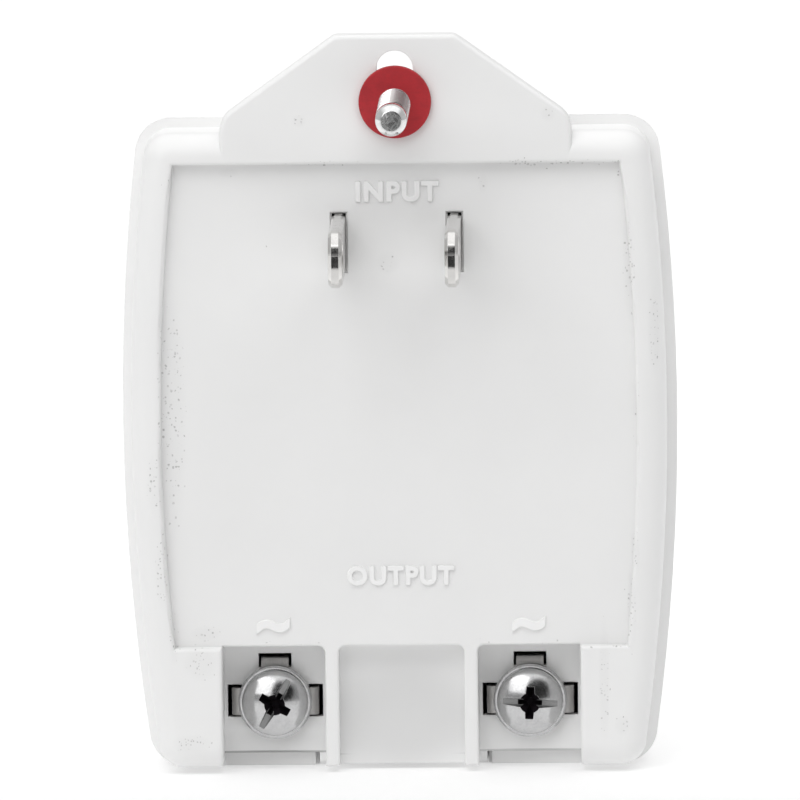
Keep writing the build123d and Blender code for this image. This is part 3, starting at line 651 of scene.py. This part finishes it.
CASE_FRONT = moulded_white(
    "moulded_white_front", FRONT_TONES, grains_per_mm=4.5, relief=0.12, dirty_and_shaded=True
)
CASE_COVER = moulded_white(
    "moulded_white_cover", COVER_TONES, grains_per_mm=3.0, relief=0.2, dirty_and_shaded=False
)
BLADE_PLATE = plated(
    "nickel_plate",
    (0.74, 0.73, 0.715, 1.0),
    (0.6, 0.59, 0.575, 1.0),
    roughness=0.07,
    along=(9.0, 0.5, 9.0),
    relief=0.12,
)
SCREW_PLATE = plated(
    "bright_plate",
    (0.64, 0.64, 0.64, 1.0),
    (0.44, 0.44, 0.45, 1.0),
    roughness=0.12,
    along=(4.0, 4.0, 4.0),
    relief=0.08,
)
# Darker, duller plating on the slot's faces, as painted shade for the slot's depth
SLOT_SHADE_PLATE = plated(
    "slot_shade_plate",
    grey(0.36),
    grey(0.22),
    roughness=0.3,
    along=(6.0, 1.0, 6.0),
    relief=0.3,
    metallic=0.75,
)
BOLT_PLATE = plated(
    "bolt_plate",
    grey(0.82),
    grey(0.62),
    roughness=0.05,
    along=(3.0, 0.6, 3.0),
    relief=0.1,
)
DULL_PLATE = plated(
    "dull_plate",
    (0.5, 0.49, 0.48, 1.0),
    (0.36, 0.35, 0.34, 1.0),
    roughness=0.32,
    along=(6.0, 1.0, 1.0),
    relief=0.25,
)
CUTOFF_METAL = plated(
    "cutoff_case",
    grey(0.66),
    grey(0.5),
    roughness=0.3,
    along=(0.5, 8.0, 8.0),
    relief=0.2,
)
RECESS_SHADE_BLACK = recess_painted_shade()
CUT_END = mottled_end()
LAMINATIONS = laminations()
TAPE = film_tape()
BOBBIN_TONES = ((0.62, 0.6, 0.53, 1.0), (0.74, 0.72, 0.66, 1.0))
LEAD_TONES = (grey(0.012), grey(0.03))
BOBBIN_PLASTIC = plain_plastic(
    "natural_bobbin", BOBBIN_TONES, grains_per_mm=3.0, shine_range=(0.35, 0.5)
)
INSULATION = plain_plastic(
    "black_insulation", LEAD_TONES, grains_per_mm=6.0, shine_range=(0.3, 0.45)
)

FINISHES = {
    "wall_housing": CASE_FRONT,
    "room_cover": CASE_COVER,
    "fibre_washer": red_fibre(),
    "core_e_stack": LAMINATIONS,
    "core_i_stack": LAMINATIONS,
    "bobbin": BOBBIN_PLASTIC,
    "primary_winding": enamelled_wire("fine_wire", turns_per_mm=3.2),
    "secondary_winding": enamelled_wire("thick_wire", turns_per_mm=1.3),
    "primary_tape": TAPE,
    "secondary_tape": TAPE,
    "thermal_cutoff": CUTOFF_METAL,
}
for side in ("left", "right"):
    FINISHES[f"line_blade_{side}"] = BLADE_PLATE
    FINISHES[f"terminal_plate_{side}"] = DULL_PLATE
    FINISHES[f"terminal_washer_{side}"] = SCREW_PLATE
    FINISHES[f"primary_lead_{side}"] = INSULATION
    FINISHES[f"secondary_lead_{side}"] = INSULATION

for node, finish in FINISHES.items():
    nodes[node].data.materials.clear()
    nodes[node].data.materials.append(finish)


# Raised marks on the panel

MERGE_DISTANCE = 0.002 * MM
MARK_HEIGHT = 0.22 * MM
MARK_SINK = 0.1 * MM  # into the panel
MARK_LETTER_SPACE = 1.15
MARK_WEIGHT = 0.03  # added to the strokes, as a share of the size
MARK_EDGE = 0.06 * MM
MARK_EDGE_STEPS = 2
# Text, size, and place across and up, in millimetres
MARKS = {
    "mark_input": ("INPUT", 2.9, 0.0, 5.5),
    "mark_output": ("OUTPUT", 2.7, 0.0, -37.0),
    "mark_wave_left": ("~", 6.0, -14.05, -42.2),
    "mark_wave_right": ("~", 6.0, 14.05, -42.2),
}


def raised_mark(name, text, size, x, z):
    """Letters that stand a little proud of the panel, with soft edges."""
    deselect()
    bpy.ops.object.text_add()
    letters = bpy.context.object
    letters.name = name
    letters.data.body = text
    letters.data.size = size * MM
    letters.data.align_x = "CENTER"
    letters.data.align_y = "CENTER"
    letters.data.space_character = MARK_LETTER_SPACE
    letters.data.offset = MARK_WEIGHT * size * MM
    letters.data.extrude = (MARK_HEIGHT + MARK_SINK) / 2
    letters.data.bevel_depth = MARK_EDGE
    letters.data.bevel_resolution = MARK_EDGE_STEPS
    bpy.ops.object.convert(target="MESH")
    merge_doubles(letters, MERGE_DISTANCE, turn_normals=True)
    letters.rotation_euler = UPRIGHT
    depth = (PANEL_DEPTH * MM) + (MARK_SINK - MARK_HEIGHT) / 2
    letters.location = (x * MM, depth, z * MM)
    settle()
    letters.data.materials.clear()
    letters.data.materials.append(CASE_COVER)
    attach(letters, "transformer")


for mark, (text, size, x, z) in MARKS.items():
    raised_mark(mark, text, size, x, z)


# Seats that close the housing's slots round the blades

BLADE_SPACING = 12.7 * MM
BLADE_SLOT = (1.88 * MM, 6.73 * MM)
SEAT_WALL = 0.17 * MM
SEAT_DEPTH = 1.0 * MM
SEAT_DROP = 0.35 * MM  # below the panel's face
SEAT_EDGE = 0.03 * MM
SEAT_EDGE_STEPS = 2


def make_blade_seats():
    """Thin frame in a blade's slot, modelled once and copied for the other blade."""
    deselect()
    place = (-BLADE_SPACING / 2, PANEL_DEPTH * MM + SEAT_DROP, 0)
    bpy.ops.mesh.primitive_plane_add(size=1, location=place, rotation=UPRIGHT)
    left = bpy.context.object
    left.name = "blade_seat_left"
    left.scale = (*BLADE_SLOT, 1)
    settle()
    bpy.ops.object.mode_set(mode="EDIT")
    bpy.ops.mesh.select_mode(type="FACE")
    bpy.ops.mesh.select_all(action="SELECT")
    bpy.ops.mesh.inset(thickness=SEAT_WALL)
    bpy.ops.mesh.delete(type="FACE")
    bpy.ops.object.mode_set(mode="OBJECT")
    use_modifier(left, "SOLIDIFY", thickness=SEAT_DEPTH, offset=-1)
    use_modifier(left, "BEVEL", width=SEAT_EDGE, segments=SEAT_EDGE_STEPS)
    left.data.materials.append(CASE_COVER)
    right = twin(left, "blade_seat_right")
    pick(right)
    right.location = (BLADE_SPACING, 0, 0)
    settle()
    for seat in (left, right):
        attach(seat, "transformer")


# Screws with cut threads, each drawn along +Z from the seat of its head

THREAD_PITCH = 0.79375 * MM
THREAD_RADIUS = 1.75 * MM
THREAD_CREST = 0.14 * MM
THREAD_FOOT = 0.9  # of the pitch
THREAD_ROOT = 0.15 * MM  # of the ridge, inside the core
THREAD_FADE = 0.5  # turns at each end
THREAD_FADE_DEPTH = 0.05 * MM  # of the faded end, inside the core
THREAD_STEPS = 48  # to a turn
THREAD_MERGE = 0.001 * MM
CORE_RADIUS = 1.34 * MM
NECK_RADIUS = 1.45 * MM
TIP_RADIUS = 1.15 * MM

HEAD_TO_WALL = 90  # lean about X, in degrees
HEAD_TO_ROOM = -90
HEAD_HEIGHT = 2.1 * MM
HEAD_EDGE = 0.75 * MM
HEAD_ROUND = 0.4 * MM
HEAD_ROUND_STEPS = 6
DOME_STEPS = 8
ROUND_SIDES = 80
EDGE_ROUND = 0.1 * MM
EDGE_ROUND_STEPS = 3
EDGE_ANGLE = math.radians(35)
SMOOTH_ANGLE = math.radians(28)

DRIVE_SLOT_LENGTH = 3  # head radii, past both sides of the head
DRIVE_SLOT_WIDTH = 1.1 * MM
DRIVE_SLOT_DEPTH = 0.9 * MM
DRIVE_SLOT_DRAW_IN = 0.25 * MM
CROSS_SPAN = 3.9 * MM
CROSS_SPAN_IN_SLOT = 3.3 * MM
CROSS_WIDTH = 1.15 * MM
CROSS_DEPTH = 1.7 * MM
CROSS_DRAW_IN = 0.55 * MM
CROSS_MIDDLE = 1.3 * MM
CROSS_TIP = 0.4 * MM
CROSS_SIDES = 24
CROSS_TURN = 0.1  # radians, so that no side lies along an arm
CUT_STEP = 0.03 * MM  # between the floors of one cut and the next
CUT_ABOVE = 0.2 * MM  # the crown
CUT_LEAST = 0.1 * MM  # across a cutter's floor
CUT_MERGE = 0.0005 * MM
RING_TOLERANCE = 0.001 * MM
LEVEL_NORMAL = 0.9  # least height of a normal that looks up or down

TERMINAL_HEAD_RADIUS = 3.65 * MM
TERMINAL_SCREW_LENGTH = 6.4 * MM  # under the head
TERMINAL_TIP_CHAMFER = 0.3 * MM
TERMINAL_NECK = (-0.7 * MM, -1.1 * MM)  # where the neck starts to narrow, and is narrow
TERMINAL_THREAD = (-0.8 * MM, -6.2 * MM)
TERMINAL_TURNS = {"left": 60.0, "right": -3.0}  # of the slots, in degrees

MOUNTING_HEAD_RADIUS = 3.3 * MM
MOUNTING_SCREW_LENGTH = 22.2 * MM
MOUNTING_TIP_CHAMFER = 0.7 * MM
MOUNTING_NECK = (-4.3 * MM, -4.5 * MM)
MOUNTING_THREAD = (-4.4 * MM, -18.5 * MM)
SMOOTH_END = (-18.3 * MM, -18.7 * MM)  # where the core starts to widen, and is wide
SMOOTH_RADIUS = THREAD_RADIUS - 0.03 * MM
CUT_END_DEPTH = 0.01 * MM  # of the faces that count as the tip's end


def pick_faces(piece, test):
    """In edit mode, select the faces whose middle and normal pass a test, and no others."""
    bpy.ops.mesh.select_all(action="DESELECT")
    bpy.ops.mesh.select_mode(type="FACE")
    mesh = bmesh.from_edit_mesh(piece.data)
    for face in mesh.faces:
        face.select_set(test(face.calc_center_median(), face.normal))
    bmesh.update_edit_mesh(piece.data)


def pick_rings(piece, height):
    """In edit mode, select the edges that lie at one height, and no others."""
    bpy.ops.mesh.select_all(action="DESELECT")
    bpy.ops.mesh.select_mode(type="EDGE")
    mesh = bmesh.from_edit_mesh(piece.data)
    for edge in mesh.edges:
        offsets = [abs(vertex.co.z - height) for vertex in edge.verts]
        edge.select_set(max(offsets) < RING_TOLERANCE)
    bmesh.update_edit_mesh(piece.data)


def faces_up(middle, normal):
    """Whether a face looks up."""
    return normal.z > LEVEL_NORMAL


def faces_down(middle, normal):
    """Whether a face looks down."""
    return normal.z < -LEVEL_NORMAL


def draw_cap(levels):
    """Extrude the selected cap along Z through levels of height and radius, from the first."""
    height, radius = levels[0]
    for next_height, next_radius in levels[1:]:
        move = {"value": (0, 0, next_height - height)}
        bpy.ops.mesh.extrude_region_move(TRANSFORM_OT_translate=move)
        share = next_radius / radius
        bpy.ops.transform.resize(value=(share, share, 1), center_override=(0, 0, 0))
        height, radius = next_height, next_radius


def dome_levels(head_radius):
    """Heights and radii of a domed head's rings, from its edge up."""
    rise = HEAD_HEIGHT - HEAD_EDGE
    dome_radius = (head_radius**2 + rise**2) / (2 * rise)
    spread = math.asin(head_radius / dome_radius)
    levels = [(HEAD_EDGE, head_radius)]
    for step in range(1, DOME_STEPS):
        angle = spread * (1 - step / DOME_STEPS)
        height = HEAD_HEIGHT - dome_radius * (1 - math.cos(angle))
        levels.append((height, dome_radius * math.sin(angle)))
    return levels


def turned_blank(name, head_radius, levels):
    """Domed head with the neck, core and tip under it."""
    deselect()
    bpy.ops.mesh.primitive_cylinder_add(
        vertices=ROUND_SIDES, radius=head_radius, depth=HEAD_EDGE, location=(0, 0, HEAD_EDGE / 2)
    )
    blank = bpy.context.object
    blank.name = name
    settle()
    edit(blank)
    pick_faces(blank, faces_up)
    draw_cap(dome_levels(head_radius))
    pick_rings(blank, HEAD_EDGE)
    bpy.ops.mesh.bevel(offset=HEAD_ROUND, segments=HEAD_ROUND_STEPS, affect="EDGES")
    pick_faces(blank, faces_down)
    bpy.ops.mesh.inset(thickness=head_radius - levels[0][1])
    draw_cap(levels)
    bpy.ops.object.mode_set(mode="OBJECT")
    limits = {"limit_method": "ANGLE", "angle_limit": EDGE_ANGLE}
    use_modifier(blank, "BEVEL", width=EDGE_ROUND, segments=EDGE_ROUND_STEPS, **limits)
    merge_doubles(blank, MERGE_DISTANCE, turn_normals=False)
    return blank


def cutter(name, size, floor, draw_in, finish):
    """Block for cutting a recess from above the crown to a floor, narrower there by its draw."""
    deselect()
    height = HEAD_HEIGHT + CUT_ABOVE - floor
    middle = (0, 0, floor + height / 2)
    bpy.ops.mesh.primitive_cube_add(size=1, location=middle, scale=(*size, height))
    tool = bpy.context.object
    tool.name = name
    settle()
    edit(tool)
    pick_faces(tool, faces_down)
    shares = [max(side - 2 * draw_in, CUT_LEAST) / side for side in size]
    bpy.ops.transform.resize(value=(*shares, 1), center_override=(0, 0, 0))
    bpy.ops.object.mode_set(mode="OBJECT")
    tool.data.materials.append(finish)
    return tool


def middle_cutter(floor):
    """Cone for the middle of the cross."""
    deselect()
    height = HEAD_HEIGHT + CUT_ABOVE - floor
    bpy.ops.mesh.primitive_cone_add(
        vertices=CROSS_SIDES,
        radius1=CROSS_TIP,
        radius2=CROSS_MIDDLE,
        depth=height,
        location=(0, 0, floor + height / 2),
        rotation=(0, 0, CROSS_TURN),
    )
    tool = bpy.context.object
    settle()
    tool.data.materials.append(RECESS_SHADE_BLACK)
    return tool


def thread_profile(name, bottom):
    """Outline of a thread's ridge beside the core, as four edges without a face."""
    deselect()
    depth = THREAD_RADIUS - CORE_RADIUS + THREAD_ROOT
    place = (CORE_RADIUS - THREAD_ROOT + depth / 2, 0, bottom)
    bpy.ops.mesh.primitive_plane_add(size=1, location=place, rotation=UPRIGHT)
    ridge = bpy.context.object
    ridge.name = name
    ridge.scale = (depth, THREAD_PITCH * THREAD_FOOT, 1)
    settle()
    edit(ridge)
    mesh = bmesh.from_edit_mesh(ridge.data)
    bpy.ops.mesh.select_mode(type="VERT")
    for vertex in mesh.verts:
        vertex.select_set(vertex.co.x > CORE_RADIUS)
    mesh.select_flush_mode()
    bmesh.update_edit_mesh(ridge.data)
    crest_share = THREAD_CREST / (THREAD_PITCH * THREAD_FOOT)
    bpy.ops.transform.resize(value=(1, 1, crest_share), center_override=(0, 0, bottom))
    bpy.ops.mesh.select_all(action="SELECT")
    bpy.ops.mesh.delete(type="ONLY_FACE")
    bpy.ops.object.mode_set(mode="OBJECT")
    return ridge


def thread_ridge(name, top, bottom):
    """Ridge of a thread wound down the core, dying away at both ends."""
    ridge = thread_profile(name, bottom)
    turns = int((top - bottom) / THREAD_PITCH)
    use_modifier(
        ridge,
        "SCREW",
        axis="Z",
        angle=math.tau,
        screw_offset=THREAD_PITCH,
        iterations=turns,
        steps=THREAD_STEPS,
        render_steps=THREAD_STEPS,
        use_merge_vertices=True,
        merge_threshold=THREAD_MERGE,
    )
    edit(ridge)
    bpy.ops.mesh.select_all(action="SELECT")
    bpy.ops.mesh.fill_holes(sides=4)
    bpy.ops.mesh.select_all(action="SELECT")
    bpy.ops.mesh.normals_make_consistent(inside=False)
    mesh = bmesh.from_edit_mesh(ridge.data)
    upper_end = bottom + turns * THREAD_PITCH
    rise = THREAD_RADIUS - CORE_RADIUS + THREAD_FADE_DEPTH
    for vertex in mesh.verts:
        radius = vertex.co.to_2d().length
        if radius > CORE_RADIUS:
            end = min(vertex.co.z - bottom, upper_end - vertex.co.z) / THREAD_PITCH
            share = min(max(end / THREAD_FADE, 0), 1)
            wanted = CORE_RADIUS - THREAD_FADE_DEPTH + rise * share
            vertex.co.x *= wanted / radius
            vertex.co.y *= wanted / radius
    bmesh.update_edit_mesh(ridge.data)
    bpy.ops.object.mode_set(mode="OBJECT")
    return ridge


def cut_screw(name, head_radius, levels, thread, finish):
    """Screw with a thread between two levels and a slot and cross in its head."""
    screw = turned_blank(name, head_radius, levels)
    screw.data.materials.append(finish)
    ridge = thread_ridge(f"{name}_ridge", *thread)
    ridge.data.materials.append(finish)
    combine(screw, ridge, "UNION")
    floor = HEAD_HEIGHT - DRIVE_SLOT_DEPTH
    slot_size = (DRIVE_SLOT_LENGTH * head_radius, DRIVE_SLOT_WIDTH)
    slot = cutter("slot", slot_size, floor, DRIVE_SLOT_DRAW_IN, SLOT_SHADE_PLATE)
    combine(screw, slot, "DIFFERENCE")
    floor = HEAD_HEIGHT - CROSS_DEPTH
    arms = ((CROSS_SPAN_IN_SLOT, CROSS_WIDTH), (CROSS_WIDTH, CROSS_SPAN))
    for step, arm in enumerate(arms):
        level = floor + step * CUT_STEP
        combine(screw, cutter("arm", arm, level, CROSS_DRAW_IN, RECESS_SHADE_BLACK), "DIFFERENCE")
    combine(screw, middle_cutter(floor - CUT_STEP), "DIFFERENCE")
    merge_doubles(screw, CUT_MERGE, turn_normals=True)
    bpy.ops.object.shade_smooth_by_angle(angle=SMOOTH_ANGLE)
    return screw


def seat_screw(screw, node, body, seat, lean, turn):
    """Turn a screw's slot, lay it on its seat, and let it stand for the plain solid."""
    pick(screw)
    tilt = Matrix.Rotation(math.radians(lean), 4, "X")
    spin = Matrix.Rotation(math.radians(turn), 4, "Z")
    screw.matrix_world = Matrix.Translation(seat) @ tilt @ spin
    settle()
    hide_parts(node)
    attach(screw, body)


def make_terminal_screws():
    """One short screw, modelled once and copied for the other terminal."""
    levels = [
        (0.0, NECK_RADIUS),
        (TERMINAL_NECK[0], NECK_RADIUS),
        (TERMINAL_NECK[1], CORE_RADIUS),
        (TERMINAL_TIP_CHAMFER - TERMINAL_SCREW_LENGTH, CORE_RADIUS),
        (-TERMINAL_SCREW_LENGTH, TIP_RADIUS),
    ]
    left = cut_screw(
        "terminal_screw_threaded_left", TERMINAL_HEAD_RADIUS, levels, TERMINAL_THREAD, SCREW_PLATE
    )
    right = twin(left, "terminal_screw_threaded_right")
    for side, screw in (("left", left), ("right", right)):
        low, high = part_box(f"terminal_screw_{side}")
        depth = high[1] - TERMINAL_SCREW_LENGTH
        seat = Vector(((low[0] + high[0]) / 2, depth, (low[2] + high[2]) / 2))
        turn = TERMINAL_TURNS[side]
        seat_screw(screw, f"terminal_screw_{side}", f"{side}_screw", seat, HEAD_TO_WALL, turn)


def make_mounting_screw():
    """Long screw with a smooth end past its thread."""
    levels = [
        (0.0, NECK_RADIUS),
        (MOUNTING_NECK[0], NECK_RADIUS),
        (MOUNTING_NECK[1], CORE_RADIUS),
        (SMOOTH_END[0], CORE_RADIUS),
        (SMOOTH_END[1], SMOOTH_RADIUS),
        (MOUNTING_TIP_CHAMFER - MOUNTING_SCREW_LENGTH, SMOOTH_RADIUS),
        (-MOUNTING_SCREW_LENGTH, TIP_RADIUS),
    ]
    screw = cut_screw(
        "mounting_screw_threaded", MOUNTING_HEAD_RADIUS, levels, MOUNTING_THREAD, BOLT_PLATE
    )
    screw.data.materials.append(CUT_END)
    edit(screw)
    end = CUT_END_DEPTH - MOUNTING_SCREW_LENGTH
    pick_faces(screw, lambda middle, normal: middle.z < end)
    screw.active_material_index = len(screw.data.materials) - 1
    bpy.ops.object.material_slot_assign()
    bpy.ops.object.mode_set(mode="OBJECT")
    low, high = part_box("mounting_screw")
    depth = low[1] + MOUNTING_SCREW_LENGTH
    seat = Vector(((low[0] + high[0]) / 2, depth, (low[2] + high[2]) / 2))
    seat_screw(screw, "mounting_screw", "mounting_screw", seat, HEAD_TO_ROOM, turn=0)


make_blade_seats()
make_terminal_screws()
make_mounting_screw()


# Studio

ZENITH = 1.3
ZENITH_HEIGHTS = (0.3, 0.95)  # between which the light from above sets in
ROOM_FRONT = 0.33
ROOM_BACK = 0.6
ROOM_DEPTHS = (-0.8, 0.3)
# Unlit side of the room, right of the camera and above it
DARK_DIRECTION = Vector((0.3, -0.88, 0.36)).normalized()
DARK_EDGE = (math.cos(math.radians(29)), math.cos(math.radians(21)))
DARK_SHARE = 0.95

FLOOR_SIZE = 40
FLOOR_TONE = 0.7
FLOOR_GLOW_FRONT = 0.12
FLOOR_GLOW_BACK = 0.42
FLOOR_GLOW_PLACES = (-60.0, 40.0)  # millimetres towards the room
MATT = {"Roughness": 0.9, "Specular_IOR_Level": 0.1}

CARD_PLACE = (0.02, -1.1)
CARD_SIZE = (0.4, 1.8, 1)
CARD_LIFT = 0.5 * MM
CARD_TONE = 0.02

KEY = {"direction": (-0.62, -1.0, 0.8), "distance": 1.2, "size": 0.9, "power": 3.5}
FILL = {"direction": (0.15, -0.8, 1.0), "distance": 0.4, "size": 0.3, "power": 0.4}


def softbox(name, direction, distance, size, power):
    """Large square light that faces the object."""
    light = bpy.data.lights.new(name, "AREA")
    light.shape = "SQUARE"
    light.size = size
    light.energy = power
    lamp = bpy.data.objects.new(name, light)
    bpy.context.scene.collection.objects.link(lamp)
    eye = AIM + Vector(direction).normalized() * distance
    facing = (AIM - eye).to_track_quat("-Z", "Y").to_matrix().to_4x4()
    lamp.matrix_world = Matrix.Translation(eye) @ facing
    return lamp


def pale_world():
    """Even light from above that falls off towards the horizon on the camera's side."""
    world = bpy.data.worlds.new("studio")
    world.use_nodes = True
    tree = world.node_tree
    tree.nodes.clear()
    direction = put(tree, "ShaderNodeTexCoord").outputs["Generated"]
    parts = split(tree, direction)
    high = remap(tree, parts["Z"], *ZENITH_HEIGHTS, 0.0, ZENITH)
    room = remap(tree, parts["Y"], *ROOM_DEPTHS, ROOM_FRONT, ROOM_BACK)
    level = math_node(tree, "MAXIMUM", high, room)
    terms = {0: direction, 1: DARK_DIRECTION}
    facing = put(tree, "ShaderNodeVectorMath", terms, operation="DOT_PRODUCT").outputs["Value"]
    dark = remap(tree, facing, *DARK_EDGE)
    level = times(tree, level, math_node(tree, "MULTIPLY_ADD", dark, -DARK_SHARE, 1.0))
    glow = put(tree, "ShaderNodeBackground", {"Color": grey(1.0), "Strength": level})
    put(tree, "ShaderNodeOutputWorld", {"Surface": glow.outputs["Background"]})
    bpy.context.scene.world = world


def pale_floor():
    """Wide pale floor under the object, with a faint glow that grows towards the back."""
    deselect()
    bpy.ops.mesh.primitive_plane_add(size=FLOOR_SIZE, location=(0, 0, cad_box[0][2]))
    floor = bpy.context.object
    floor.name = "floor"
    settle()
    material, tree, shader, place = new_material("pale_floor")
    depth = split(tree, place)["Y"]
    glow = remap(tree, depth, *FLOOR_GLOW_PLACES, FLOOR_GLOW_FRONT, FLOOR_GLOW_BACK)
    wire(tree, shader, Base_Color=grey(FLOOR_TONE), **MATT)
    wire(tree, shader, Emission_Color=grey(1.0), Emission_Strength=glow)
    floor.data.materials.append(material)


def dark_card():
    """Matt black card on the floor in front, out of the picture and seen only in bright metal."""
    deselect()
    level = cad_box[0][2] + CARD_LIFT
    bpy.ops.mesh.primitive_plane_add(size=1, location=(*CARD_PLACE, level))
    card = bpy.context.object
    card.name = "dark_card"
    card.scale = CARD_SIZE
    settle()
    material, tree, shader, _ = new_material("matt_black")
    wire(tree, shader, Base_Color=grey(CARD_TONE), **MATT)
    card.data.materials.append(material)
    card.visible_camera = False
    card.visible_diffuse = False
    card.visible_shadow = False


def photo_camera():
    """Long lens from almost straight in front and a little above."""
    level = math.cos(CAMERA_ELEVATION)
    across, towards = math.sin(CAMERA_AZIMUTH), math.cos(CAMERA_AZIMUTH)
    back = Vector((across * level, -towards * level, math.sin(CAMERA_ELEVATION)))
    right = Vector((towards, across, 0))
    up = back.cross(right)
    rolled_right = right * math.cos(CAMERA_ROLL) - up * math.sin(CAMERA_ROLL)
    rolled_up = right * math.sin(CAMERA_ROLL) + up * math.cos(CAMERA_ROLL)
    data = bpy.data.cameras.new("camera")
    data.sensor_width = SENSOR_WIDTH
    data.lens = SENSOR_WIDTH * PIXELS_PER_METRE * CAMERA_DISTANCE / PICTURE
    data.clip_end = CLIP_END
    camera = bpy.data.objects.new("camera", data)
    bpy.context.scene.collection.objects.link(camera)
    turn = Matrix((rolled_right, rolled_up, back)).transposed().to_4x4()
    camera.matrix_world = Matrix.Translation(AIM + back * CAMERA_DISTANCE) @ turn
    bpy.context.scene.camera = camera


photo_camera()
pale_world()
pale_floor()
dark_card()
softbox("key", **KEY)
softbox("fill", **FILL).visible_glossy = False
bpy.context.scene.view_settings.view_transform = "Standard"
